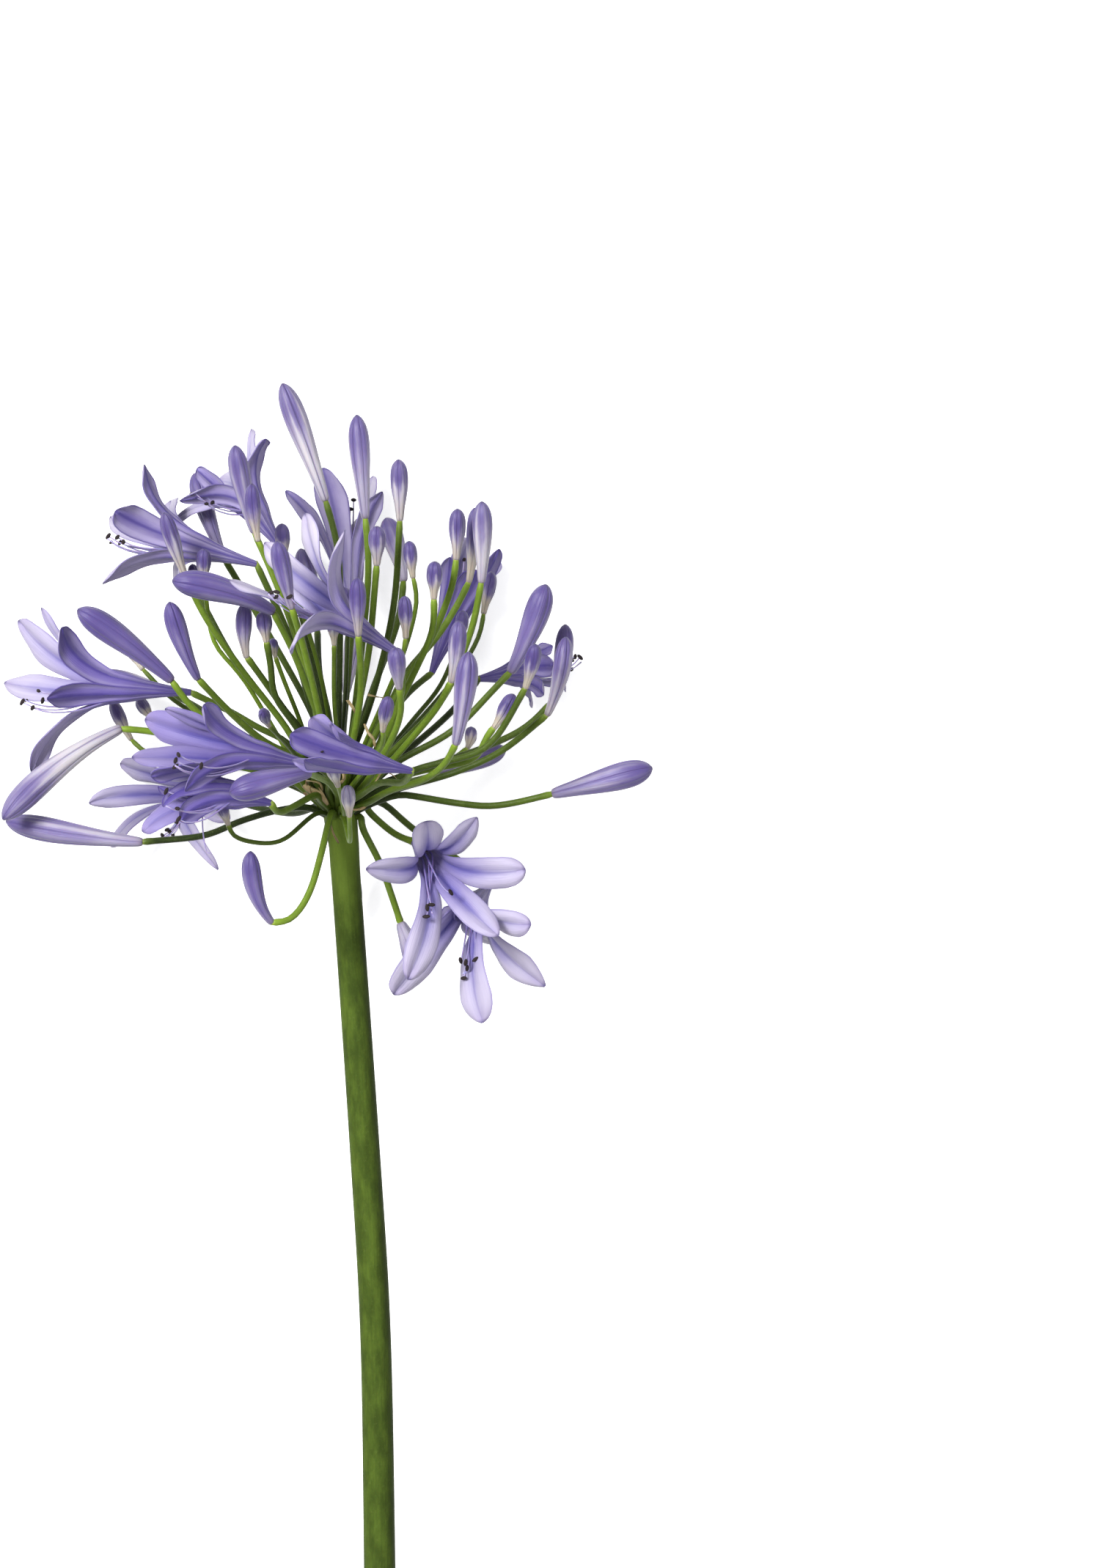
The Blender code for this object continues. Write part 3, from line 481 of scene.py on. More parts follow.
def settle(made, rounds=SETTLE_ROUNDS):
    """Moves feet and pedicels a little, mostly in depth, until no floret presses into another."""
    names = list(made)
    parts = [samples_of(made[name]) for name in names]
    scape = scape_line()[2:]
    centres = np.vstack([*[p[0] for p in parts], scape])
    radii = np.concatenate([*[p[1] for p in parts], np.full(len(scape), SCAPE_END_RADIUS + 0.6)])
    shares = np.concatenate([*[p[2] for p in parts], np.zeros(len(scape))])
    owners = np.concatenate([*[np.full(len(p[0]), k) for k, p in enumerate(parts)],
                             np.full(len(scape), len(names))])
    whole = shares**2 * (3 - 2 * shares)
    bow = 4 * shares * (1 - shares)
    size = len(names) + 1
    shift = np.zeros((size, 3))
    belly = np.zeros((size, 3))
    for turn in range(rounds):
        places = centres + whole[:, None] * shift[owners] + bow[:, None] * belly[owners]
        if turn % 30 == 0:
            pairs = near_pairs(places, radii, owners, 4.0)
            pairs = pairs[(shares[pairs[:, 0]] > 0.09) | (shares[pairs[:, 1]] > 0.09)]
        away = places[pairs[:, 0]] - places[pairs[:, 1]]
        span = np.linalg.norm(away, axis=1) + 1e-6
        deep = radii[pairs[:, 0]] + radii[pairs[:, 1]] + CLEARANCE - span
        pressed = deep > 0
        one, other = pairs[pressed].T
        away = away[pressed] / span[pressed, None]
        away[:, 2] += 0.35 * np.where(away[:, 2] >= 0, 1, -1)
        push = deep[pressed, None] * away * DEPTH_FIRST
        low = np.clip(radii - HUB_HEIGHT - FLATTEN - places[:, 2], 0, None) * (owners < len(names))
        lift = np.column_stack([0 * low, 0 * low, low])
        for rate, weight, moved in ((0.5, whole, shift), (0.4, bow, belly)):
            total = added_up(owners[one], push * weight[one, None], size)
            total -= added_up(owners[other], push * weight[other, None], size)
            total += 3 * added_up(owners, lift * weight[:, None], size)
            count = np.bincount(owners[one], weight[one] ** 2, size)
            count += np.bincount(owners[other], weight[other] ** 2, size)
            count += 3 * np.bincount(owners, weight**2 * (low > 0), size)
            moved += rate * total / np.maximum(count, 1)[:, None]
            moved[-1] = 0
        shift *= 0.999
        belly *= 0.999
    for k, name in enumerate(names):
        floret = made[name]
        stalk = interpolated(floret["stalk"], 12)
        share = np.linspace(0, 1, 12)[:, None]
        floret["line"] = stalk + share**2 * (3 - 2 * share) * shift[k] + 4 * share * (1 - share) * belly[k]
        for key in ("foot", "tip", "throat", "tips"):
            if key in floret:
                floret[key] = floret[key] + shift[k]
    print("deepest press left", round(float(deep.max()), 2), "mm")
    return made


umbel = settle(florets())

# %% [markdown]
# ## Writing a finish as sums
#
# A finish is a small picture made of arithmetic: a stripe is one minus a distance, a stain is
# noise times a mask. Blender's node editor does that with one box for each sign, so a socket is
# wrapped in a class that lets Python's own signs add the boxes.

# %% Sockets that can be added and multiplied
class Wire:
    """An output socket that Python's signs can reckon with."""

    def __init__(self, finish, socket):
        self.finish = finish
        self.socket = socket

    def maths(self, operation, other=0.0):
        return self.finish.node("ShaderNodeMath", {"operation": operation}, {0: self, 1: other})[0]

    def __add__(self, other):
        return self.maths("ADD", other)

    __radd__ = __add__

    def __mul__(self, other):
        return self.maths("MULTIPLY", other)

    __rmul__ = __mul__

    def __sub__(self, other):
        return self.maths("SUBTRACT", other)

    def __rsub__(self, other):
        return self * -1 + other

    def __abs__(self):
        return self.maths("ABSOLUTE")

    def __pow__(self, other):
        return self.maths("POWER", other)


class Finish:
    """One material, and short ways to write its nodes."""

    def __init__(self, name, **fixed):
        self.material = bpy.data.materials.new(name)
        self.material.use_nodes = True
        self.tree = self.material.node_tree
        self.shader = self.tree.nodes["Principled BSDF"]
        for socket, value in fixed.items():
            self.shader.inputs[socket.replace("_", " ")].default_value = value

    def node(self, kind, settings, values):
        """Adds a node, makes its settings, fills its sockets, and gives its outputs."""
        made = self.tree.nodes.new(kind)
        for setting, value in settings.items():
            setattr(made, setting, value)
        for socket, value in values.items():
            if isinstance(value, Wire):
                self.tree.links.new(value.socket, made.inputs[socket])
            else:
                made.inputs[socket].default_value = value
        return [Wire(self, output) for output in made.outputs]

    def feed(self, socket, wire):
        self.tree.links.new(wire.socket, self.shader.inputs[socket])

    def on_piece(self):
        """Across and along the piece, from its own UV map."""
        place = self.node("ShaderNodeTexCoord", {}, {})[2]
        across, along, _ = self.node("ShaderNodeSeparateXYZ", {}, {0: place})
        return across, along

    def own(self, name):
        """A number that each piece carries, such as how deep its colour is."""
        return self.node("ShaderNodeAttribute", {"attribute_name": name}, {})[2]

    def place(self, x, y, z):
        return self.node("ShaderNodeCombineXYZ", {}, {0: x, 1: y, 2: z})[0]

    def noise(self, place, scale, detail=3.0, rough=0.5):
        return self.node("ShaderNodeTexNoise", {},
                         {"Vector": place, "Scale": scale, "Detail": detail, "Roughness": rough})[0]

    def step(self, wire, low, high):
        """0 below low, 1 above high, and a soft step between."""
        return self.node("ShaderNodeMapRange", {"interpolation_type": "SMOOTHSTEP"},
                         {0: wire, 1: low, 2: high})[0]

    def mix(self, share, first, second):
        """The first colour where share is 0 and the second where it is 1."""
        colours = [c if isinstance(c, Wire) else (*c, 1) for c in (first, second)]
        return self.node("ShaderNodeMix", {"data_type": "RGBA"}, {0: share, 6: colours[0], 7: colours[1]})[2]

    def bump(self, height, distance, strength=1.0):
        made = self.node("ShaderNodeBump", {}, {"Height": height, "Distance": distance, "Strength": strength})
        self.feed("Normal", made[0])


def rgb(red, green, blue):
    """A colour as a painter's 0 to 255, turned into the light that Blender adds up."""
    parts = np.array([red, green, blue]) / 255
    return tuple(np.where(parts > 0.04045, ((parts + 0.055) / 1.055) ** 2.4, parts / 12.92).tolist())


def violet(red, green, blue):
    """A bud's colour. Light that bounces between buds turns bluer, so it starts less blue."""
    r, g, b = rgb(red, green, blue)
    return 0.97 * r, 0.97 * g, 0.82 * b


def petal(red, green, blue):
    """A tepal's colour. A tepal is thin, and light that passes through it keeps more of its blue."""
    r, g, b = rgb(red, green, blue)
    return 0.97 * r, 0.95 * g, 0.88 * b


# %% [markdown]
# ## The table's finish
#
# The table is a white card that is lit a little from below, like a light box, so that the
# stem's shadows stay faint. A trace of tooth keeps it from being a perfect flat colour.

# %% Table finish
card = Finish("white_card", Roughness=0.9, Emission_Color=(1, 1, 1, 1), Emission_Strength=0.55)
card_place = card.node("ShaderNodeTexCoord", {}, {})[3]
card_tooth = card.noise(card_place, 900.0)
card.feed("Base Color", card.mix(card_tooth, rgb(247, 247, 248), rgb(252, 252, 252)))
card.bump(card_tooth, 0.00005)
table.data.materials.append(card.material)

# %% [markdown]
# ## Tepal finishes
#
# A tepal is pale lavender inside with a soft blue-violet band down its middle, nearly white
# beside the band towards the tip, and a thin lavender rim. Its outside is a fuller violet with a
# narrower, darker band. Both carry fine veins that run lengthwise. The UV map gives the place
# across and along each tepal, and two numbers on each piece, its depth of colour and a seed,
# keep the flowers from looking alike.

# %% Tepal finishes
TUBE_SHARE = 22 / 60  # of a tepal's length from the foot of the tube, this much is tube


def veins(skin, across, along, seed, count):
    """Fine lengthwise lines, as noise that is pulled long."""
    fine = skin.noise(skin.place(across * count, along * 3.0, seed), 1.0, 2.0)
    return skin.step(fine, 0.35, 0.7)


def tepal_skin(name):
    """A tepal's finish before its colours, with what both of its sides are painted by."""
    skin = Finish(name, Roughness=0.5, Subsurface_Weight=0.22, Subsurface_Scale=0.0012,
                  Subsurface_Radius=(1.0, 0.92, 1.05), Specular_IOR_Level=0.35, Sheen_Weight=0.1,
                  Sheen_Roughness=0.4)
    across, along = skin.on_piece()
    seed = skin.own("seed")
    aside = abs(across * 2 - 1)  # 0 on the middle line, 1 at the edges
    up = (along - TUBE_SHARE) * (1 / (1 - TUBE_SHARE))  # 0 at the throat, 1 at the tip
    drift = skin.noise(skin.place(across * 2.4, along * 5.0, seed), 1.0, 3.0)
    lines = veins(skin, across, along, seed, 34.0)
    return skin, aside, up, drift, lines


def finished_tepal(skin, flesh, aside, up, drift, lines):
    skin.feed("Base Color", skin.mix(skin.step(up, 0.955, 1.0) * 0.7, flesh, petal(74, 62, 132)))
    skin.feed("Roughness", 0.42 + 0.16 * drift)
    skin.bump(lines * 0.4 + drift * 1.6, 0.00012)
    return skin.material


def tepal_inside_finish():
    skin, aside, up, drift, lines = tepal_skin("tepal_inside")
    deep = skin.own("deep")
    pale = skin.step(up + drift * 0.3 + aside * 0.12, 0.36, 1.0)
    flesh = skin.mix(pale, petal(152, 144, 203), petal(198, 193, 218))
    flesh = skin.mix(deep * 0.88, flesh, petal(118, 105, 180))
    flesh = skin.mix(lines * (0.05 + 0.08 * deep), flesh, petal(118, 107, 180))
    fade = 1 - 0.8 * skin.step(up + drift * 0.2, 0.4, 0.95)
    rise = skin.step(up, -0.1, 0.15)
    halo = (1 - skin.step(aside + drift * 0.4, 0.16, 0.86)) * fade * rise
    blue = skin.mix(deep, petal(116, 111, 190), petal(90, 80, 166))
    flesh = skin.mix(halo * 0.66, flesh, blue)
    core = (1 - skin.step(aside + drift * 0.14, 0.02, 0.34)) * fade * rise
    flesh = skin.mix(core * (0.55 + 0.25 * deep), flesh, petal(76, 71, 158))
    crease = (1 - skin.step(aside, 0.0, 0.09)) * skin.step(up, 0.45, 0.7)
    flesh = skin.mix(crease * 0.35, flesh, petal(120, 112, 176))
    flesh = skin.mix((1 - skin.step(up, -0.2, 0.12)) * 0.6, flesh, petal(146, 133, 190))
    flesh = skin.mix(skin.step(up + drift * 0.08, 0.86, 1.02) * 0.4, flesh, petal(162, 149, 196))
    rim = skin.step(aside + drift * 0.05, 0.9, 0.99)
    flesh = skin.mix(rim * 0.45, flesh, petal(116, 105, 176))
    return finished_tepal(skin, flesh, aside, up, drift, lines)


def tepal_outside_finish():
    skin, aside, up, drift, lines = tepal_skin("tepal_outside")
    full = skin.own("full")
    flesh = skin.mix(skin.step(drift + aside * 0.3, 0.35, 0.85), petal(146, 135, 194), petal(171, 162, 210))
    flesh = skin.mix(full * 0.9, flesh, petal(101, 87, 168))
    flesh = skin.mix(lines * 0.14, flesh, petal(106, 93, 172))
    shoulder = skin.step(aside + drift * 0.2, 0.45, 0.8) * (1 - skin.step(aside, 0.84, 0.97))
    shoulder = shoulder * skin.step(up, -0.1, 0.3) * (0.55 - 0.25 * full)
    flesh = skin.mix(shoulder, flesh, petal(184, 176, 218))
    halo = 1 - skin.step(aside + drift * 0.3, 0.1, 0.58)
    flesh = skin.mix(halo * 0.55, flesh, skin.mix(full, petal(100, 89, 172), petal(76, 62, 150)))
    keel = 1 - skin.step(aside + drift * 0.06, 0.03, 0.2)
    flesh = skin.mix(keel * 0.6, flesh, petal(66, 54, 142))
    seam = skin.step(aside, 0.72, 0.82) * (1 - skin.step(aside, 0.84, 0.93))
    seam = seam * (1 - skin.step(up, -0.25, 0.1))
    flesh = skin.mix(seam * 0.5, flesh, petal(180, 172, 220))
    flesh = skin.mix(full * -0.7, flesh, petal(190, 182, 226))  # below 0, pale
    rim = skin.step(aside + drift * 0.04, 0.93, 1.0)
    flesh = skin.mix(rim * 0.55, flesh, petal(76, 63, 146))
    return finished_tepal(skin, flesh, aside, up, drift, lines)


tepal_inside = tepal_inside_finish()
tepal_outside = tepal_outside_finish()

# %% [markdown]
# ## Bud finish
#
# A bud is six folded tepals. Pale ridges run up it between thin dark seams, and its tip is
# deep violet. A young bud is cream and brown over its lower half, a ripe one lavender nearly
# down to the foot, so one number, how young it is, moves that border.

# %% Bud finish
def bud_finish():
    skin = Finish("bud_skin", Roughness=0.42, Subsurface_Weight=0.12, Subsurface_Scale=0.001,
                  Sheen_Weight=0.08)
    around, along = skin.on_piece()
    deep = skin.own("deep")
    young = skin.own("young")
    seed = skin.own("seed")
    fold = 1 - abs((around * 6).maths("FRACT") * 2 - 1)  # 1 on a seam, 0 on a ridge
    drift = skin.noise(skin.place(around * 5.0, along * 3.0, seed), 1.0, 3.0)
    lines = veins(skin, around, along, seed, 70.0)
    odd = skin.step(skin.noise(skin.place(around * 4.0, 7.0, seed), 1.0, 1.0), 0.35, 0.6)
    seam = skin.step(fold + drift * 0.3, 0.86, 1.14) * (0.35 + 0.65 * odd)
    flesh = skin.mix(deep, violet(140, 128, 184), violet(94, 79, 158))
    pick = skin.step(skin.noise(skin.place(around * 2.6, 0.0, seed), 1.0, 1.0), 0.38, 0.62)
    band = 1 - skin.step(fold + drift * 0.8 + along * 0.2, 0.45, 1.1)
    band = band * (0.4 + 0.6 * pick) * (1.05 - deep * 0.95) * (0.4 + 0.6 * skin.step(along, 0.05, 0.4))
    flesh = skin.mix(band * 0.85, flesh, violet(206, 200, 222))
    low = 1 - skin.step(along + drift * 0.3 + deep * 0.5, 0.3, 1.0)
    low = low * (0.5 + 0.5 * skin.step(along, 0.08, 0.4)) * (0.95 - 1.1 * deep)
    flesh = skin.mix(low, flesh, violet(216, 211, 228))
    flesh = skin.mix(seam * 0.65, flesh, violet(92, 77, 148))
    border = along + drift * 0.3 - young * 0.36 + seam * 0.08
    cream = (1 - skin.step(border, 0.0, 0.4)) * (0.03 + 0.92 * young)
    flesh = skin.mix(cream, flesh, violet(206, 194, 186))
    husk = skin.step(lines * 0.7 + drift * 0.7 + seam * 0.7, 0.75, 1.5) * cream
    flesh = skin.mix(husk * 0.7, flesh, violet(132, 112, 112))
    flesh = skin.mix(lines * 0.06, flesh, violet(104, 92, 150))
    tip = skin.step(along + drift * 0.3 + young * 0.16 - band * 0.16, 0.68, 1.02)
    flesh = skin.mix(tip * (0.62 + 0.28 * deep + 0.25 * young), flesh, violet(80, 65, 140))
    point = skin.step(along, 0.97, 1.0) * 0.7
    flesh = skin.mix(point, flesh, violet(66, 52, 116))
    foot = (1 - skin.step(along, 0.0, 0.08)) * 0.45
    flesh = skin.mix(foot, flesh, violet(132, 118, 140))
    skin.feed("Base Color", flesh)
    skin.feed("Roughness", 0.38 + 0.14 * drift)
    skin.bump(lines * 0.3 + drift - seam * 1.2, 0.0002)
    return skin.material


bud_skin = bud_finish()

# %% [markdown]
# ## Green finishes
#
# A pedicel is bright yellow-green with faint lengthwise streaks, and paler just under its
# floret. Painted shade makes the lower pedicels, and long ones near the hub, a darker green.
# The scape is a duller green, mottled in long soft patches under a waxy bloom. Painted shade darkens
# its right side, away from the lamp, and painted light brightens its top, where the umbel shades it.
# Its cut end shows wet pale pith with the dots of its vessels.

# %% Green finishes
def pedicel_finish():
    skin = Finish("pedicel_skin", Roughness=0.42, Subsurface_Weight=0.06, Subsurface_Scale=0.0008,
                  Specular_IOR_Level=0.2)
    around, down = skin.on_piece()  # down is in decimetres from the floret
    deep = skin.own("deep")
    young = skin.own("young")
    seed = skin.own("seed")
    streak = skin.noise(skin.place(around * 14.0, down * 26.0, seed), 1.0, 3.0)
    patch = skin.noise(skin.place(around * 2.0, down * 60.0, seed + 3.0), 1.0, 2.0)
    speck = skin.step(skin.noise(skin.place(around * 22.0, down * 300.0, seed), 1.0, 1.0), 0.62, 0.75)
    # On a pedicel, deep is its random tone together with painted shade, so this dark green is partly painted
    # shade.
    green = skin.mix(deep, rgb(118, 146, 42), rgb(34, 46, 15))
    green = skin.mix(skin.step(streak, 0.35, 0.75) * 0.35, green, rgb(68, 86, 30))
    green = skin.mix(skin.step(patch, 0.5, 0.8) * 0.3 * (1 - deep), green, rgb(146, 164, 70))
    green = skin.mix(speck * 0.2, green, rgb(150, 160, 100))
    neck = 1 - skin.step(down + patch * 0.02, 0.01, 0.07)
    green = skin.mix(neck * 0.6 * (1 - deep * 0.6), green, rgb(140, 168, 52))
    collar = 1 - skin.step(down, 0.006, 0.02)
    green = skin.mix(collar * (0.35 + 0.6 * young), green, rgb(188, 196, 104))
    skin.feed("Base Color", green)
    skin.feed("Roughness", 0.34 + 0.2 * streak)
    skin.bump(streak, 0.00015)
    return skin.material


def scape_finish():
    skin = Finish("scape_skin", Roughness=0.6, Subsurface_Weight=0.04, Subsurface_Scale=0.001,
                  Specular_IOR_Level=0.08)
    around, down = skin.on_piece()  # around is 0.5 on the right side, down is in decimetres
    fibre = skin.noise(skin.place(around * 46.0, down * 6.0, 0.0), 1.0, 3.0)
    patch = skin.noise(skin.place(around * 7.0, down * 7.0, 4.0), 1.0, 4.0, 0.6)
    grain = skin.noise(skin.place(around * 40.0, down * 90.0, 8.0), 1.0, 2.0)
    green = skin.mix(skin.step(patch, 0.32, 0.7), rgb(58, 74, 24), rgb(84, 104, 36))
    green = skin.mix(skin.step(fibre, 0.4, 0.75) * 0.4, green, rgb(60, 78, 28))
    green = skin.mix(skin.step(grain, 0.55, 0.8) * 0.2, green, rgb(112, 126, 66))
    # Painted shade: a dark green band down the right side of the scape, away from the lamp.
    painted_shade_side = 1 - skin.step(abs(around - 0.5) + patch * 0.08, 0.13, 0.33)
    green = skin.mix(painted_shade_side * 0.6, green, rgb(38, 46, 18))
    # Dark smudges, laid on more strongly where the painted shade is.
    smudge = skin.step(skin.noise(skin.place(around * 12.0, down * 16.0, 2.0), 1.0, 3.0), 0.6, 0.8)
    green = skin.mix(smudge * (0.25 + 0.4 * painted_shade_side), green, rgb(46, 54, 28))
    # Painted light: the top of the scape, which the umbel shades, is painted a lighter green.
    painted_light_near_top = 1 - skin.step(down, 0.1, 0.5)
    green = skin.mix(painted_light_near_top * 0.8, green, rgb(118, 142, 54))
    skin.feed("Base Color", green)
    skin.feed("Roughness", 0.54 + 0.2 * grain)
    skin.bump(fibre + grain * 0.5, 0.00018)
    return skin.material


def pith_finish():
    skin = Finish("cut_pith", Roughness=0.55, Subsurface_Weight=0.2, Subsurface_Scale=0.001)
    place = skin.node("ShaderNodeTexCoord", {}, {})[3]
    cells = skin.node("ShaderNodeTexVoronoi", {}, {"Vector": place, "Scale": 1300.0})[0]
    wet = skin.noise(place, 500.0)
    dots = 1 - skin.step(cells, 0.12, 0.3)
    flesh = skin.mix(wet, rgb(196, 208, 150), rgb(222, 226, 188))
    skin.feed("Base Color", skin.mix(dots * 0.6, flesh, rgb(120, 138, 74)))
    skin.bump(wet - dots * 0.6, 0.0003)
    return skin.material


pedicel_skin = pedicel_finish()
scape_skin = scape_finish()
cut_pith = pith_finish()

# %% [markdown]
# ## Small finishes
#
# Filaments are glassy pale lavender. Anthers are almost black, dusted with maroon pollen. Where
# the bract that once wrapped the umbel tore off, thin tan scraps stay between the stalks.

# %% Small finishes
def filament_finish():
    skin = Finish("filament", Roughness=0.35, Subsurface_Weight=0.3, Subsurface_Scale=0.0008)
    _, along = skin.on_piece()
    skin.feed("Base Color", skin.mix(skin.step(along, 0.3, 1.0), rgb(140, 127, 188), rgb(172, 162, 206)))
    return skin.material


def anther_finish():
    skin = Finish("anther", Roughness=0.8)
    place = skin.node("ShaderNodeTexCoord", {}, {})[3]
    dust = skin.noise(place, 5200.0, 2.0)
    skin.feed("Base Color", skin.mix(skin.step(dust, 0.42, 0.75), rgb(18, 10, 16), rgb(56, 36, 36)))
    skin.bump(dust, 0.00012)
    return skin.material


def bract_finish():
    skin = Finish("bract_scrap", Roughness=0.7, Subsurface_Weight=0.15, Subsurface_Scale=0.001)
    across, along = skin.on_piece()
    seed = skin.own("seed")
    fibre = skin.noise(skin.place(across * 9.0, along * 3.0, seed), 1.0, 3.0)
    tan = skin.mix(fibre, rgb(208, 190, 140), rgb(126, 92, 58))
    skin.feed("Base Color", skin.mix(skin.step(along, 0.75, 1.0) * 0.5, tan, rgb(104, 60, 48)))
    skin.bump(fibre, 0.0003)
    return skin.material


filament_skin = filament_finish()
anther_skin = anther_finish()
bract_skin = bract_finish()
print(len(bpy.data.materials), "finishes")

# %% [markdown]
# ## Round blanks, made on a lathe
#
# Stalks, buds and filaments are all round, so each begins as one circle that is extruded
# upwards and widened ring by ring. The blank stands straight, one unit tall. It is modelled once,
# and each copy is later laid along its own curved line.

# %% A round blank
def select_points(blank, wanted):
    """In edit mode, selects the points whose place passes the test."""
    bpy.ops.object.mode_set(mode="OBJECT")
    for point in blank.data.vertices:
        point.select = bool(wanted(point.co))
    for edge in blank.data.edges:
        edge.select = all(blank.data.vertices[k].select for k in edge.vertices)
    for face in blank.data.polygons:
        face.select = all(blank.data.vertices[k].select for k in face.vertices)
    bpy.ops.object.mode_set(mode="EDIT")


def turned_blank(name, sides, profile, finish):
    """A closed round blank from rows of height and radius."""
    clear_selection()
    bpy.ops.mesh.primitive_circle_add(vertices=sides, radius=profile[0][1], fill_type="NGON",
                                      location=(0, 0, 0))
    blank = bpy.context.object
    blank.name = name
    bpy.ops.object.mode_set(mode="EDIT")
    bpy.ops.mesh.select_mode(type="VERT")
    bpy.ops.mesh.select_all(action="SELECT")
    for (height, radius), (next_height, next_radius) in zip(profile, profile[1:]):
        rise = (0, 0, next_height - height)
        grow = next_radius / radius
        bpy.ops.mesh.extrude_region_move(TRANSFORM_OT_translate={"value": rise})
        bpy.ops.transform.resize(value=(grow, grow, 1), center_override=(0, 0, next_height))
    bpy.ops.mesh.select_all(action="SELECT")
    bpy.ops.mesh.normals_make_consistent(inside=False)
    bpy.ops.object.mode_set(mode="OBJECT")
    blank.data.materials.append(finish)
    bpy.ops.object.shade_smooth()
    return blank


def wrap_uv(blank):
    """A UV map of a round blank: once round is 0 to 1, and so is its height."""
    mesh = blank.data
    places = np.array([point.co[:] for point in mesh.vertices])
    turn = np.arctan2(places[:, 1], places[:, 0]) / (2 * math.pi) % 1
    layer = mesh.uv_layers[0] if mesh.uv_layers else mesh.uv_layers.new(name="wrap")
    for face in mesh.polygons:
        corners = [mesh.loops[k].vertex_index for k in face.loop_indices]
        around = turn[corners]
        if len(corners) < 5 and np.ptp(around) > 0.5:
            around = np.where(around < 0.5, around + 1, around)
        for loop, corner, place in zip(face.loop_indices, corners, around):
            layer.data[loop].uv = (place, places[corner, 2])


def unit_rows(count):
    return [(k / count, 1.0) for k in range(count + 1)]


stalk_blank = turned_blank("stalk_blank", 12, unit_rows(26), pedicel_skin)
filament_blank = turned_blank("filament_blank", 6, unit_rows(12), filament_skin)
for blank in (stalk_blank, filament_blank):
    wrap_uv(blank)
print("stalk blank", len(stalk_blank.data.polygons), "faces")

# %% [markdown]
# ## The bud blank
#
# A ripe bud is a long club: a slim tube at the foot, widest at three quarters of its length, and
# closing to a small hard point. Every other pair of columns is drawn in a little, which gives the six
# soft ridges of the folded tepals, and one subdivision rounds them.

# %% The bud blank
BUD_SIDES = 24
BUD_PROFILE = [(0, 0.3), (0.03, 0.38), (0.1, 0.46), (0.2, 0.54), (0.32, 0.65), (0.45, 0.79), (0.58, 0.92),
               (0.68, 0.99), (0.77, 1.0), (0.85, 0.93), (0.905, 0.79), (0.945, 0.61), (0.972, 0.42),
               (0.986, 0.26), (0.994, 0.15), (1.0, 0.09)]
YOUNG_SHARE = [(0, 1.1), (0.1, 0.95), (0.22, 0.92), (0.4, 1.08), (0.55, 1.12), (0.68, 1.02), (0.85, 0.97), (1, 1)]

bud_blank = turned_blank("bud_blank", BUD_SIDES, BUD_PROFILE, bud_skin)


def on_seam(place):
    """On the line between two ridges, and not at the tip or the foot."""
    turned = math.atan2(place[1], place[0]) / math.radians(60)
    return abs(turned - round(turned)) > 0.4 and 0.15 < place[2] < 0.97


select_points(bud_blank, on_seam)
bpy.ops.transform.resize(value=(0.91, 0.91, 1), center_override=(0, 0, 0))
bpy.ops.object.mode_set(mode="OBJECT")
rounding = bud_blank.modifiers.new("rounding", "SUBSURF")
rounding.levels = rounding.render_levels = 1
bpy.ops.object.modifier_apply(modifier="rounding")
wrap_uv(bud_blank)
print("bud blank", len(bud_blank.data.polygons), "faces")

# %% [markdown]
# ## Tepal blanks
#
# A tepal is one long strip from the foot of the tube to its own tip, and six of them side by side
# make the tube, as on the real flower. The blank is a flat grid. Its columns are pushed up or
# down for the groove along the middle, and its rows are narrowed one by one to the outline. The
# inner three tepals are broad and round, the outer three narrow and pointed, so there
# are two blanks. Solidify then gives the wall, and the outside its own finish.

# %% Tepal blanks
TEPAL_LENGTH = 52.0
TEPAL_ROWS = 44
TEPAL_COLUMNS = 10
WALL = 0.34
TUBE_RADII = [(0.0, 1.05), (0.08, 1.22), (0.25, 1.6), (0.5, 2.3), (0.75, 3.2), (1.0, 4.5)]
SIXTH = math.radians(31)  # half of what one tepal covers of the tube, and a little overlap
BROAD = [(0, 2.4), (0.12, 3.0), (0.3, 4.1), (0.5, 5.0), (0.64, 5.4), (0.78, 5.2), (0.87, 4.5), (0.93, 3.5),
         (0.965, 2.5), (0.985, 1.6), (1.0, 0.3)]
NARROW = [(0, 2.4), (0.12, 2.9), (0.3, 3.8), (0.5, 4.4), (0.64, 4.5), (0.78, 4.0), (0.87, 3.0), (0.93, 2.1),
          (0.965, 1.35), (0.985, 0.85), (1.0, 0.25)]
GROOVE = [0.52, 0.1, -0.4, -0.5, -0.22, 0.42]  # depth of a column, from the middle to the edge


def half_width(share, outline):
    """Half of the tepal's width in millimetres at a share of its whole length."""
    tube = np.interp(share / TUBE_SHARE, *zip(*TUBE_RADII)) * math.sin(SIXTH)
    lobe = np.interp((share - TUBE_SHARE) / (1 - TUBE_SHARE), *zip(*outline))
    return np.where(share < TUBE_SHARE, tube, lobe)


def row_share(row):
    """How far up the tepal a row of the grid lies. Rows lie closer together towards the tip."""
    return 1 - (1 - row / TEPAL_ROWS) ** 1.35


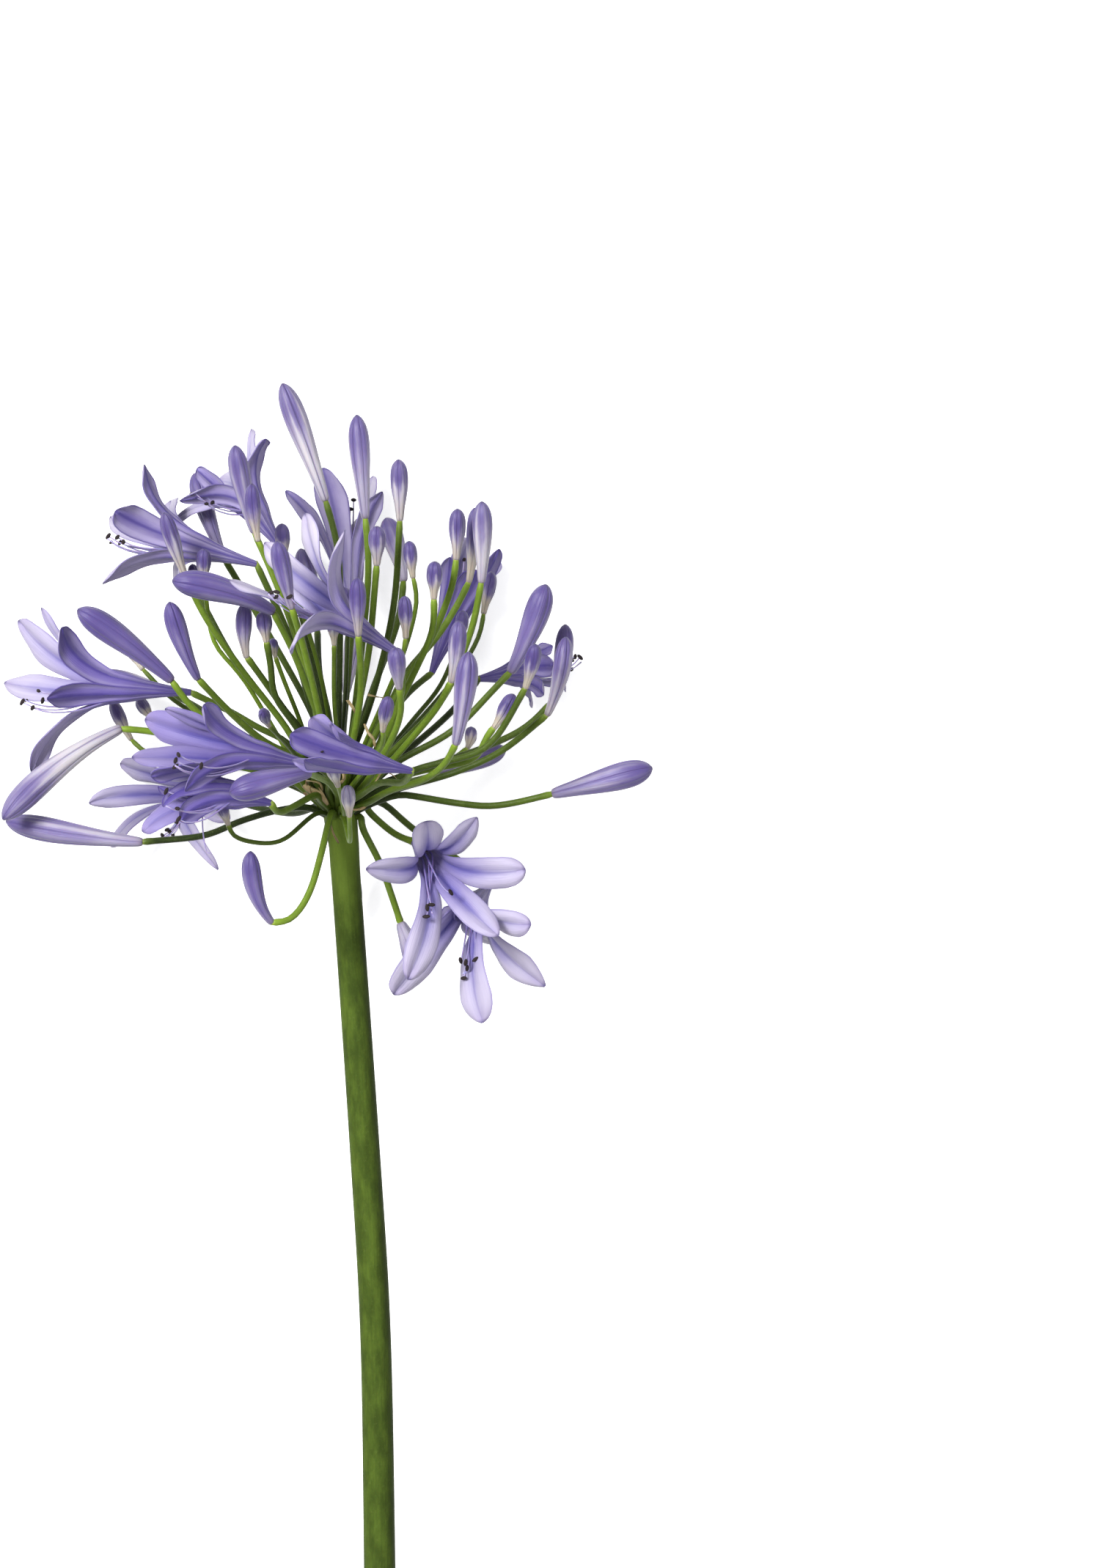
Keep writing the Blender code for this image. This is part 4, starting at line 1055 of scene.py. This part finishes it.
def tepal_blank(name, outline):
    clear_selection()
    bpy.ops.mesh.primitive_grid_add(x_subdivisions=TEPAL_COLUMNS, y_subdivisions=TEPAL_ROWS, size=2,
                                    location=(0, 0, 0))
    blank = bpy.context.object
    blank.name = name
    for column, depth in enumerate(GROOVE):
        aside = column / 5
        select_points(blank, lambda co, a=aside: abs(abs(co[0]) - a) < 0.05)
        bpy.ops.transform.translate(value=(0, 0, -depth))
    for row in range(TEPAL_ROWS, -1, -1):
        height = 2 * row / TEPAL_ROWS - 1
        rise = 2 * row_share(row) - 1 - height
        wide = float(half_width(row_share(row), outline))
        select_points(blank, lambda co, h=height: abs(co[1] - h) < 0.001)
        bpy.ops.transform.translate(value=(0, rise, 0))
        bpy.ops.transform.resize(value=(wide, 1, 1), center_override=(0, 0, 0))
    bpy.ops.mesh.select_all(action="SELECT")
    bpy.ops.transform.translate(value=(0, 1, 0))
    bpy.ops.transform.resize(value=(1, TEPAL_LENGTH / 2, 1), center_override=(0, 0, 0))
    bpy.ops.object.mode_set(mode="OBJECT")
    for loop, corner in zip(blank.data.loops, blank.data.uv_layers[0].data):
        x, y, _ = blank.data.vertices[loop.vertex_index].co
        share = y / TEPAL_LENGTH
        corner.uv = (0.5 + 0.5 * x / float(half_width(share, outline)), share)
    blank.data.materials.append(tepal_inside)
    blank.data.materials.append(tepal_outside)
    wall = blank.modifiers.new("wall", "SOLIDIFY")
    wall.thickness = WALL
    wall.offset = -1
    wall.material_offset = 1
    wall.material_offset_rim = 1
    bpy.ops.object.modifier_apply(modifier="wall")
    bpy.ops.object.shade_smooth_by_angle(angle=math.radians(55))
    print(name, len(blank.data.polygons), "faces")
    return blank


broad_blank = tepal_blank("broad_blank", BROAD)
narrow_blank = tepal_blank("narrow_blank", NARROW)

# %% [markdown]
# ## The anther blank
#
# An anther is a bean two millimetres long, with a furrow between its two pollen sacs.

# %% The anther blank
clear_selection()
bpy.ops.mesh.primitive_uv_sphere_add(segments=10, ring_count=8, radius=1, location=(0, 0, 0))
anther_blank = bpy.context.object
anther_blank.name = "anther_blank"
select_points(anther_blank, lambda co: abs(co[0]) < 0.05 and abs(co[2]) < 0.9)
bpy.ops.transform.resize(value=(1, 0.62, 1), center_override=(0, 0, 0))
bpy.ops.mesh.select_all(action="SELECT")
bpy.ops.transform.resize(value=(0.68, 0.58, 1.35), center_override=(0, 0, 0))
bpy.ops.object.mode_set(mode="OBJECT")
anther_blank.data.materials.append(anther_skin)
bpy.ops.object.shade_smooth()

# %% [markdown]
# ## Laying a blank in place
#
# A copy of a blank keeps its faces, finish and UV map, and only its points move. A round blank
# follows a curve: its height becomes the way along the curve, and its width is measured
# square to it. The frame of directions is carried along from point to point, so it doesn't twist.

# %% Laying a round blank along a line
def carried_frames(line):
    """Forward, side and up directions along a line, with no twist."""
    forward = unit(np.gradient(line, axis=0))
    side = np.cross(forward[0], (0.2, 0.3, 0.93))
    sides = []
    for way in forward:
        side = unit(side - (side @ way) * way)
        sides.append(side)
    sides = np.array(sides)
    return forward, sides, np.cross(forward, sides)


def between_rows(rows, share):
    """Rows read at shares from 0 to 1, with a straight blend between neighbours."""
    spot = np.clip(share, 0, 1) * (len(rows) - 1)
    low = np.minimum(spot.astype(int), len(rows) - 2)
    part = (spot - low)[:, None]
    return rows[low] * (1 - part) + rows[low + 1] * part


def above_table(places):
    """World places, with what would sink into the table pressed flat just above it."""
    world = np.asarray(places) * MM + HUB
    soft = 1.5 * MM
    near = world[:, 2] < soft
    world[near, 2] = soft * np.exp((world[near, 2] - soft) / soft)
    return world


def copy_of(blank, name, places, **numbers):
    """A copy of a blank with its points at new places, in millimetres from the hub."""
    mesh = blank.data.copy()
    mesh.name = name
    mesh.vertices.foreach_set("co", above_table(places).ravel())
    for key, value in numbers.items():
        layer = mesh.attributes.new(key, "FLOAT", "POINT")
        layer.data.foreach_set("value", np.full(len(mesh.vertices), value))
    mesh.update()
    made = bpy.data.objects.new(name, mesh)
    bpy.context.scene.collection.objects.link(made)
    return made


def points_of(blank):
    places = np.empty(len(blank.data.vertices) * 3)
    blank.data.vertices.foreach_get("co", places)
    return places.reshape(-1, 3)


def laid_along(blank, name, line, radii, roll=0.0, **numbers):
    """A round blank along a line of points, with a radius for each row of the line."""
    line = np.asarray(line, float)
    _, sides, ups = carried_frames(line)
    sides, ups = math.cos(roll) * sides + math.sin(roll) * ups, math.cos(roll) * ups - math.sin(roll) * sides
    spot = points_of(blank)
    share = spot[:, 2]
    wide = np.interp(share, np.linspace(0, 1, len(radii)), radii)
    places = (between_rows(line, share)
              + (spot[:, :1] * wide[:, None]) * between_rows(sides, share)
              + (spot[:, 1:2] * wide[:, None]) * between_rows(ups, share))
    return copy_of(blank, name, places, **numbers)


def joined(name, parts, node):
    """The parts as one piece, which rides on the stem and stands in for its solid."""
    clear_selection()
    for part in parts:
        part.select_set(True)
    bpy.context.view_layer.objects.active = parts[0]
    if len(parts) > 1:
        bpy.ops.object.join()
    piece = bpy.context.view_layer.objects.active
    piece.name = name
    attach(piece, "root")
    if node:
        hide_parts(node)
    return piece


# %% [markdown]
# ## Stalks and buds
#
# A stalk starts inside the hub, so that the bases crowd into each other as real ones do. It is a
# little thicker where it leaves the scape and swells again under its floret. A bud leans over
# smoothly from its stalk, so its own middle line starts in the stalk's direction.

# %% Stalks and buds
STALK_POINTS = 44
INTO_FLORET = 1.0  # millimetres that a stalk reaches into its floret
SMOOTHINGS = 24  # the first four for the whole stalk, the others only near the hub


def stalk_of(name, floret, deep, young, seed):
    root = unit(floret["line"][0])
    base = (2.8 * root[0], 3.0 * root[1] - 6.0, 2.8 * root[2])
    end = floret["line"][-1] + INTO_FLORET * unit(floret["line"][-1] - floret["line"][-2])
    line = interpolated([base, *floret["line"], end], STALK_POINTS)
    gone = np.append(0, np.cumsum(np.linalg.norm(np.diff(line, axis=0), axis=1)))
    near = np.clip(1.6 - gone / 14, 0, 1)[1:-1, None]
    for turn in range(SMOOTHINGS):
        even = (line[:-2] + 2 * line[1:-1] + line[2:]) / 4
        line[1:-1] += (even - line[1:-1]) * (1.0 if turn < 4 else near)
    gone = np.append(0, np.cumsum(np.linalg.norm(np.diff(line, axis=0), axis=1)))
    left = gone[-1] - gone
    swell = 1 + 0.2 * np.exp(-gone / 7) + 0.26 * np.exp(-(((left - INTO_FLORET) / 1.3) ** 2))
    radii = stalk_radius(floret) * swell * np.clip(0.6 + 0.5 * left / INTO_FLORET, 0, 1)
    share = points_of(stalk_blank)[:, 2]
    # Painted shade: a long stalk's green is darkened near the hub, where the other stalks shade it.
    painted_hub_shade = min(gone[-1] / 70, 1) * 0.75  # a long stalk is shaded by the others near the hub
    shade = np.clip(deep + painted_hub_shade * np.exp(-share * gone[-1] / 30), 0, 1)
    piece = laid_along(stalk_blank, name + "_stalk", line, radii, deep=shade, young=young, seed=seed)
    for corner in piece.data.uv_layers[0].data:
        corner.uv[1] = (1 - corner.uv[1]) * gone[-1] / 100
    return piece


def bud_of(name, floret, deep, young, seed):
    foot, tip = floret["foot"], floret["tip"]
    way = unit(floret["line"][-1] - floret["line"][-2])
    length = np.linalg.norm(tip - foot)
    start = foot - 0.4 * unit(tip - foot)
    control = foot + length * 0.45 * unit(0.35 * way + 0.65 * unit(tip - foot))
    t = np.linspace(0, 1, 24)[:, None]
    line = (1 - t) ** 2 * start + 2 * t * (1 - t) * control + t**2 * tip
    plump = 1 - young + young * np.interp(t[:, 0], *zip(*YOUNG_SHARE))
    radii = plump * floret["thick"] / 2
    return laid_along(bud_blank, name + "_bud", line, radii, seed, deep=deep, young=young, seed=seed)


def stalk_darkness_and_painted_shade(floret, draw):
    """How dark a stalk is painted: a random tone, and painted shade that darkens stalks lying lower down and
    lightens those on top.
    """
    return float(np.clip(0.5 - 0.009 * floret["foot"][2] + draw.normal(0, 0.28), 0.02, 0.95))


BUD_DEPTHS = {"bud_01": 0.05, "bud_02": 0.33, "bud_10": 0.05, "bud_11": 0.15, "bud_14": 0.42,
              "bud_16": 0.7, "bud_18": 0.45, "bud_19": 0.3, "bud_20": 0.65, "bud_21": 0.9, "bud_22": 0.85,
              "bud_25": 0.85, "bud_28": 0.45, "bud_31": 0.6, "bud_35": 0.6, "bud_37": 0.0, "bud_38": 0.45,
              "bud_39": 0.8, "bud_40": 0.85, "bud_06": 0.5, "bud_29": 0.5, "bud_41": 0.3, "bud_33": -0.4,
              "bud_34": -0.8}
draw = np.random.default_rng(11)
for name, floret in umbel.items():
    if name in FLOWERS:
        continue
    seed = float(draw.uniform(0, 40))
    young = float(1 - np.clip((floret["thick"] - 5.4) / 1.8, 0, 1))
    deep = BUD_DEPTHS.get(name, float(draw.uniform(0.1, 0.4)))
    parts = [stalk_of(name, floret, stalk_darkness_and_painted_shade(floret, draw), young, seed),
             bud_of(name, floret, deep, young, seed)]
    joined(name + "_bloom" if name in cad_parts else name, parts,
           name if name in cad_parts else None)
print(len(BUDS), "buds laid")

# %% [markdown]
# ## Flowers
#
# Each tepal runs up the tube's wall and out of the throat to its own tip. Inside the tube a
# strip is bent to the tube's curve. Beyond the throat it flattens, and every tepal gets its own
# small twist, a soft wave along its edges and edges that curl back, since no two are the same.

# %% Laying a tepal
TEPAL_POINTS = 61
TUBE_POINTS = 22


def tepal_lines(floret):
    """For each of the six tepals: its middle line, its side and its inward direction."""
    rows, sides, turn, across, upward = tepal_rows(floret, np.linspace(0, 1, TEPAL_POINTS - TUBE_POINTS))
    foot, throat = floret["foot"], floret["throat"]
    way = np.linspace(0, 1, TUBE_POINTS, endpoint=False)
    wall = np.interp(way, *zip(*TUBE_RADII))
    made = []
    for k in range(6):
        around = turn + k * math.pi / 3
        outward = math.cos(around) * across + math.sin(around) * upward
        tube = foot + way[:, None] * (throat - foot) + wall[:, None] * outward
        line = np.vstack([tube, rows[k]])
        for _ in range(6):
            line[1:-1] = (line[:-2] + 2 * line[1:-1] + line[2:]) / 4
        forward = unit(np.gradient(line, axis=0))
        side = unit(sides[k] - (forward @ sides[k])[:, None] * forward)
        made.append((line, side, np.cross(forward, side)))
    return made


def turn_to_light(lines):
    """A twist that shows a tepal's face, for one that would stand on edge to the sky."""
    _, side, inward = lines
    spot = int(0.75 * TEPAL_POINTS)
    lift, lean = inward[spot, 2], side[spot, 2]
    return -0.6 * (1 - abs(lift)) * (1 if lift * lean > 0 else -1)


def laid_tepal(blank, name, lines, outer, breadth, nature, **numbers):
    """A tepal blank bent into the tube and then out along its middle line."""
    line, side, inward = lines
    spot = points_of(blank)
    share = spot[:, 1] / TEPAL_LENGTH
    outline = NARROW if outer else BROAD
    wide = half_width(share, outline)
    u = spot[:, 0] / np.maximum(wide, 0.05)
    lobe = np.clip((share - TUBE_SHARE) / (1 - TUBE_SHARE), 0, 1)
    free = np.clip((share - 0.75 * TUBE_SHARE) / 0.3, 0, 1)
    free = free**2 * (3 - 2 * free)
    radius = np.interp(share / TUBE_SHARE, *zip(*TUBE_RADII)) + lobe * 6
    curve = u * SIXTH
    depth = spot[:, 2] * (0.35 + 0.65 * free) * np.clip(wide / 3, 0.2, 1)
    tube_x = (radius - depth) * np.sin(curve)
    tube_h = radius - (radius - depth) * np.cos(curve)
    twist, cup, wave, phase, curl = nature
    wavy = wave * np.clip(wide / 4, 0, 1) * np.abs(u) ** 3 * np.sin(2 * math.pi * (2.2 * lobe + phase + 0.25 * np.sign(u))) * lobe
    cupped = wide * u**2 * (cup * (1 - lobe) - 0.16 * lobe) + curl * (np.clip(lobe - 0.6, 0, 1) / 0.4) ** 2
    lobe_x = u * wide * breadth
    lobe_h = depth + cupped + wavy
    x = tube_x * (1 - free) + lobe_x * free
    h = tube_h * (1 - free) + lobe_h * free - (0.3 * free * (1 - 0.5 * lobe) if outer else 0.0)
    turn = twist * lobe**1.5
    x, h = x * np.cos(turn) - h * np.sin(turn), x * np.sin(turn) + h * np.cos(turn)
    places = between_rows(line, share) + x[:, None] * between_rows(side, share) + h[:, None] * between_rows(inward, share)
    return copy_of(blank, name, places, **numbers)


# %% [markdown]
# ## Stamens
#
# Filaments and one style leave the tube together, dip towards the stem's foot and turn up
# at their ends, where each filament carries its anther. Where the anthers of a flower can be seen
# one by one, their places are listed. Those of the others stand in a loose bunch.

# %% Stamens
ANTHERS = {
    "flower_01": [(-107, 32.5, 15), (-105.8, 33, 12), (-103.4, 30.5, 17), (-101.6, 36.3, 13), (-100.3, 33, 10)],
    "flower_02": [(-77.3, 88.2, 15), (-76.5, 86.2, 12), (-74.2, 87.8, 16), (-73.2, 86.2, 13), (-72.1, 86.2, 17)],
    "flower_03": [(-49.4, 103.6, 13), (-46.8, 104.5, 11), (-44.3, 100.2, 14), (-42.3, 100.7, 12)],
    "flower_04": [(-21.5, 69, 63), (-19.5, 69.2, 64), (-19.8, 67.6, 62), (-15.2, 67.6, 65)],
    "flower_09": [(31.2, -34.2, 31), (29.8, -35.2, 32), (29.5, -38.2, 30), (37.8, -30, 30)],
    "flower_10": [(41.8, -55.2, 17), (43.5, -55.8, 18), (44, -57.8, 16), (42.8, -61.2, 15), (46.8, -54.8, 17)],
    "flower_05": [(-51.8, 14.1, 76), (-52.8, 12.2, 75), (-52.8, 10.2, 77), (-44.1, 10.4, 79)],
    "flower_06": [(-55.9, 2.5, 57), (-52, -3.3, 60), (-51.7, -6.9, 59)],
}
BUNCHES = {"flower_07": (-6, 17, 82), "flower_08": (-60, -12, -44)}
FILAMENT_RADIUS = 0.33
DOWN = np.array([0.0, -1.0, 0.0])  # towards the stem's foot


def anther_places(name, floret, draw):
    """Where a flower's anthers are, moved with the flower when it made room."""
    moved = floret["foot"] - np.array(FLOWERS[name][0], float)
    axis = unit(floret["throat"] - floret["foot"])
    if name in ANTHERS:
        return np.array(ANTHERS[name]) + moved
    middle = np.array(BUNCHES[name]) + moved if name in BUNCHES else floret["throat"] + 24 * axis
    return middle + draw.normal(0, 1, (6, 3)) * (2.4, 2.4, 1.6)


def filament_line(start, throat, end, droop):
    span = np.linalg.norm(end - throat)
    middle = 0.5 * (throat + end) + droop * span * DOWN
    late = 0.18 * throat + 0.82 * end + 0.8 * droop * span * DOWN
    return interpolated([start, throat, middle, late, end], 24)


def stamens_of(name, floret, draw, deep, seed):
    axis = unit(floret["throat"] - floret["foot"])
    across = unit(np.cross(axis, ASIDE))
    upward = np.cross(axis, across)
    parts = []
    ends = anther_places(name, floret, draw)
    for k, end in enumerate(ends):
        around = k * math.tau / len(ends) + 0.5
        outward = math.cos(around) * across + math.sin(around) * upward
        start = floret["foot"] + 0.55 * (floret["throat"] - floret["foot"]) + 1.1 * outward
        line = filament_line(start, floret["throat"] + 1.9 * outward, end, draw.uniform(0.05, 0.13))
        radii = FILAMENT_RADIUS * np.linspace(1.25, 0.7, 24)
        parts.append(laid_along(filament_blank, f"{name}_filament_{k}", line, radii, deep=deep, seed=seed))
        lean = unit(np.cross(line[-1] - line[-3], draw.normal(0, 1, 3)) + 0.3 * draw.normal(0, 1, 3))
        reach = np.array([end - lean, end + lean])
        _, sides, ups = carried_frames(reach)
        spot = points_of(anther_blank)
        places = end + spot[:, 2:] * lean + spot[:, :1] * sides[0] + spot[:, 1:2] * ups[0]
        parts.append(copy_of(anther_blank, f"{name}_anther_{k}", places, deep=deep, seed=seed))
    middle = ends.mean(axis=0)
    far = middle + 3.0 * unit(middle - floret["throat"]) + draw.normal(0, 0.8, 3)
    line = filament_line(floret["foot"] + 0.5 * (floret["throat"] - floret["foot"]), floret["throat"], far, 0.1)
    radii = FILAMENT_RADIUS * np.append(np.linspace(1.0, 0.6, 23), 0.95)
    parts.append(laid_along(filament_blank, name + "_style", line, radii, deep=deep, seed=seed))
    return parts


# %% Building the flowers
DEPTHS = {  # of the colour inside, and of the colour outside
    "flower_01": (0.25, 0.85), "flower_02": (0.15, 0.2), "flower_03": (0.2, 0.25), "flower_04": (0.0, 0.3),
    "flower_05": (0.85, 0.95), "flower_06": (0.9, 1.0), "flower_07": (0.9, 1.0), "flower_08": (0.35, 0.3),
    "flower_09": (0.22, 0.15), "flower_10": (0.2, 0.4),"flower_11": (0.1, -0.1), "flower_12": (0.5, 0.8),
    "flower_13": (0.5, 0.7),
}
OUTER_ODD = {"flower_04", "flower_09"}  # here the narrow tepals are the second, fourth and sixth
PALE_BACKS = {  # tepals whose outer half is pale on both sides
    ("flower_04", 0), ("flower_04", 1), ("flower_01", 5), ("flower_02", 0), ("flower_03", 4),
}
BROADER = {("flower_09", 1): 1.2, ("flower_09", 2): 1.3, ("flower_09", 3): 1.4, ("flower_10", 0): 1.35,
           ("flower_10", 3): 1.15, ("flower_10", 5): 1.15}
draw = np.random.default_rng(29)
for name in FLOWERS:
    floret = umbel[name]
    seed = float(draw.uniform(0, 40))
    deep, full = DEPTHS[name]
    parts = [stalk_of(name, floret, stalk_darkness_and_painted_shade(floret, draw), 0.0, seed)]
    for k, lines in enumerate(tepal_lines(floret)):
        outer = (k + (name in OUTER_ODD)) % 2 == 0
        blank = narrow_blank if outer else broad_blank
        nature = (draw.normal(0, 0.2) + turn_to_light(lines), draw.uniform(0.2, 0.4),
                  draw.uniform(0.3, 0.9), draw.uniform(0, 1), draw.normal(0, 0.9))
        length = np.linalg.norm(np.diff(lines[0], axis=0), axis=1).sum()
        breadth = float(np.clip(length / TEPAL_LENGTH, 0.8, 1.08) * draw.uniform(0.93, 1.06))
        breadth *= BROADER.get((name, k), 1.0)
        shade = draw.normal(0, 0.06)
        back = full + shade
        if (name, k) in PALE_BACKS:
            back -= (full + 1) * np.clip((points_of(blank)[:, 1] / TEPAL_LENGTH - 0.45) / 0.25, 0, 1)
        parts.append(laid_tepal(blank, f"{name}_tepal_{k}", lines, outer, breadth, nature,
                                deep=max(deep + shade, 0.0), full=back, seed=seed + 3.7 * k))
    parts += stamens_of(name, floret, draw, deep, seed)
    joined(name + "_bloom", parts, name)
print(len(FLOWERS), "flowers laid")

# %% [markdown]
# ## The scape
#
# The scape is one long stalk, ten millimetres thick and faintly ribbed. Under
# the umbel it widens a little into the cushion that the pedicels grow from. Its lower end was
# cut straight across, and the cut face is dished, because soft pith dries back from the skin.

# %% The scape
SCAPE_SIDES = 36
SCAPE_ROWS = 90
CUSHION = [(2.2, 1.0), (1.8, 2.8), (0.6, 4.4), (-1.5, 5.4), (-4.5, 5.8), (-8.0, 5.7), (-12.0, 5.4), (-17.0, 5.15)]
SCAPE_TOP_RADIUS = 5.0

scape_blank = turned_blank("scape_blank", SCAPE_SIDES, unit_rows(SCAPE_ROWS), scape_skin)
scape_blank.data.materials.append(cut_pith)
bpy.ops.object.mode_set(mode="EDIT")
select_points(scape_blank, lambda co: co[2] > 0.999)
bpy.ops.mesh.inset(thickness=0.07, use_select_inset=False)
bpy.ops.mesh.inset(thickness=0.25)
bpy.ops.transform.translate(value=(0, 0, -0.0022))
bpy.ops.mesh.inset(thickness=0.35)
bpy.ops.transform.translate(value=(0, 0, -0.0012))
bpy.ops.object.mode_set(mode="OBJECT")
for face in scape_blank.data.polygons:
    middle = face.center
    if middle[2] > 0.99 and abs(face.normal[2]) > 0.3:
        face.material_index = 1
wrap_uv(scape_blank)

line = scape_line()
line = line[line[:, 1] < -22]
top = [(-0.12 * y, y, 0.1 * y) for y, _ in CUSHION]
line = interpolated([*top, *line], SCAPE_ROWS * 2)
reach = line[:, 1]
height, radius = zip(*[(-332, SCAPE_END_RADIUS), (-30, SCAPE_TOP_RADIUS), *CUSHION[::-1]])
radii = np.interp(reach, height, radius)
scape = laid_along(scape_blank, "scape_stem", line, radii, seed=0.0)
for corner in scape.data.uv_layers[0].data:
    corner.uv[1] *= 3.4
joined("scape_stem", [scape], "scape")

# %% [markdown]
# ## Scraps of the bract
#
# Before it opened, the umbel was wrapped in a papery bract. What is left of it are tan, curled
# shreds between the pedicels: thin strips, each laid along a short crooked line.

# %% Scraps of the bract
SCRAPS = {
    "scrap_1": ([(-11, 4.5, 14), (-9, 2.5, 15.5), (-6, 0.8, 15), (-3.5, -2.5, 13)], 1.1),
    "scrap_2": ([(-8.5, 5, 12), (-9.5, 3.2, 15), (-8.8, 1, 16)], 0.8),
    "scrap_3": ([(-2.5, -8.5, 7.5), (-1.6, -12, 8.4), (0.4, -15.5, 7.4)], 0.35),
    "scrap_4": ([(3.5, 33, 20), (5.5, 30.5, 22), (6.8, 28, 20)], 0.5),
    "scrap_5": ([(10.5, 35, 24), (14, 34.2, 25), (17, 33.8, 23)], 0.45),
    "scrap_6": ([(5, -4, 10), (8.5, -3.4, 12), (11, -0.5, 12)], 0.7),
    "scrap_7": ([(-8, 3, 13), (-10.5, 4.8, 15), (-9.5, 7.2, 16), (-6.5, 6.4, 15)], 0.45),
    "scrap_8": ([(-5, -1, 12), (-7.5, -0.2, 13.5), (-11.5, 1.6, 13)], 0.6),
    "scrap_9": ([(2, 12, 13), (4.5, 14.5, 16), (3, 18, 16)], 0.6),
    "scrap_10": ([(7.5, 8.5, 13), (10.5, 10.5, 15), (10, 14, 15.5), (7.5, 15.5, 15)], 0.5),
    "scrap_11": ([(-3, 9, 14), (-6, 12.5, 15.5), (-5, 16, 15)], 0.5),
    "scrap_12": ([(0.6, 10.8, 24), (2.4, 8.6, 25.5), (2.6, 6.2, 24), (1, 4.6, 22)], 0.95),
    "scrap_13": ([(9.6, 25, 27), (10.8, 22, 28.5), (12.6, 19.6, 28), (12.8, 17, 26)], 0.5),
    "scrap_14": ([(15, 9, 21), (13.6, 6.4, 22), (11.4, 3.6, 20)], 0.45),
    "scrap_15": ([(-10.5, 5.6, 19), (-8, 5.4, 21), (-5.6, 4.4, 20), (-5, 2.4, 19)], 0.5),
    "scrap_16": ([(-6.4, 3.4, 18), (-4.6, 0.8, 18.5), (-3.4, -2.6, 16)], 0.3),
    "scrap_17": ([(16.5, 8.8, 25), (18.6, 8, 26), (20.4, 6.4, 25)], 0.25),
}


def scrap_blank_made():
    clear_selection()
    bpy.ops.mesh.primitive_grid_add(x_subdivisions=4, y_subdivisions=16, size=2, location=(0, 0, 0))
    blank = bpy.context.object
    blank.name = "scrap_blank"
    select_points(blank, lambda co: abs(co[0]) > 0.9)
    bpy.ops.transform.translate(value=(0, 0, 0.5))
    for row, wide in ((0, 0.5), (5, 0.85), (11, 0.8), (14, 0.5), (15, 0.3), (16, 0.08)):
        height = row / 8 - 1
        select_points(blank, lambda co, h=height: abs(co[1] - h) < 0.01)
        bpy.ops.transform.resize(value=(wide, 1, 1), center_override=(0, height, 0))
    bpy.ops.mesh.select_all(action="SELECT")
    bpy.ops.transform.translate(value=(0, 1, 0))
    bpy.ops.transform.resize(value=(1, 0.5, 1), center_override=(0, 0, 0))
    bpy.ops.object.mode_set(mode="OBJECT")
    blank.data.materials.append(bract_skin)
    wall = blank.modifiers.new("wall", "SOLIDIFY")
    wall.thickness = 0.16
    bpy.ops.object.modifier_apply(modifier="wall")
    bpy.ops.object.shade_smooth()
    return blank


scrap_blank = scrap_blank_made()
parts = []
for k, (name, (points, wide)) in enumerate(SCRAPS.items()):
    line = interpolated(points, 20)
    _, sides, ups = carried_frames(line)
    spot = points_of(scrap_blank)
    turn = 1.8 * spot[:, 1] + k
    x = (spot[:, 0] * np.cos(turn) - spot[:, 2] * np.sin(turn)) * wide
    h = (spot[:, 0] * np.sin(turn) + spot[:, 2] * np.cos(turn)) * wide
    places = (between_rows(line, spot[:, 1]) + x[:, None] * between_rows(sides, spot[:, 1])
              + h[:, None] * between_rows(ups, spot[:, 1]))
    parts.append(copy_of(scrap_blank, name, places, seed=float(k)))
joined("bract_scraps", parts, None)

# %% [markdown]
# ## A long style
#
# One fading flower has let its style hang down, a violet thread with a dark curled end.

# %% A long style
hanging = interpolated([(-43.5, 1.5, 42), (-44.7, -3.3, 44), (-44.9, -10, 43), (-44, -17, 41),
                        (-43, -19.4, 40.6), (-42.4, -18.6, 40.6)], 24)
style = laid_along(filament_blank, "hanging_style", hanging, 0.26 * np.append(np.ones(22), (1.5, 1.8)),
                   deep=0.9, seed=1.0)
joined("hanging_style", [style], None)

# %% [markdown]
# ## Putting the blanks away
#
# The blanks were patterns and not pieces of the stem, so they go.

# %% Clearing up
for blank in (stalk_blank, filament_blank, bud_blank, broad_blank, narrow_blank, anther_blank,
              scape_blank, scrap_blank):
    bpy.data.objects.remove(blank)
clear_selection()
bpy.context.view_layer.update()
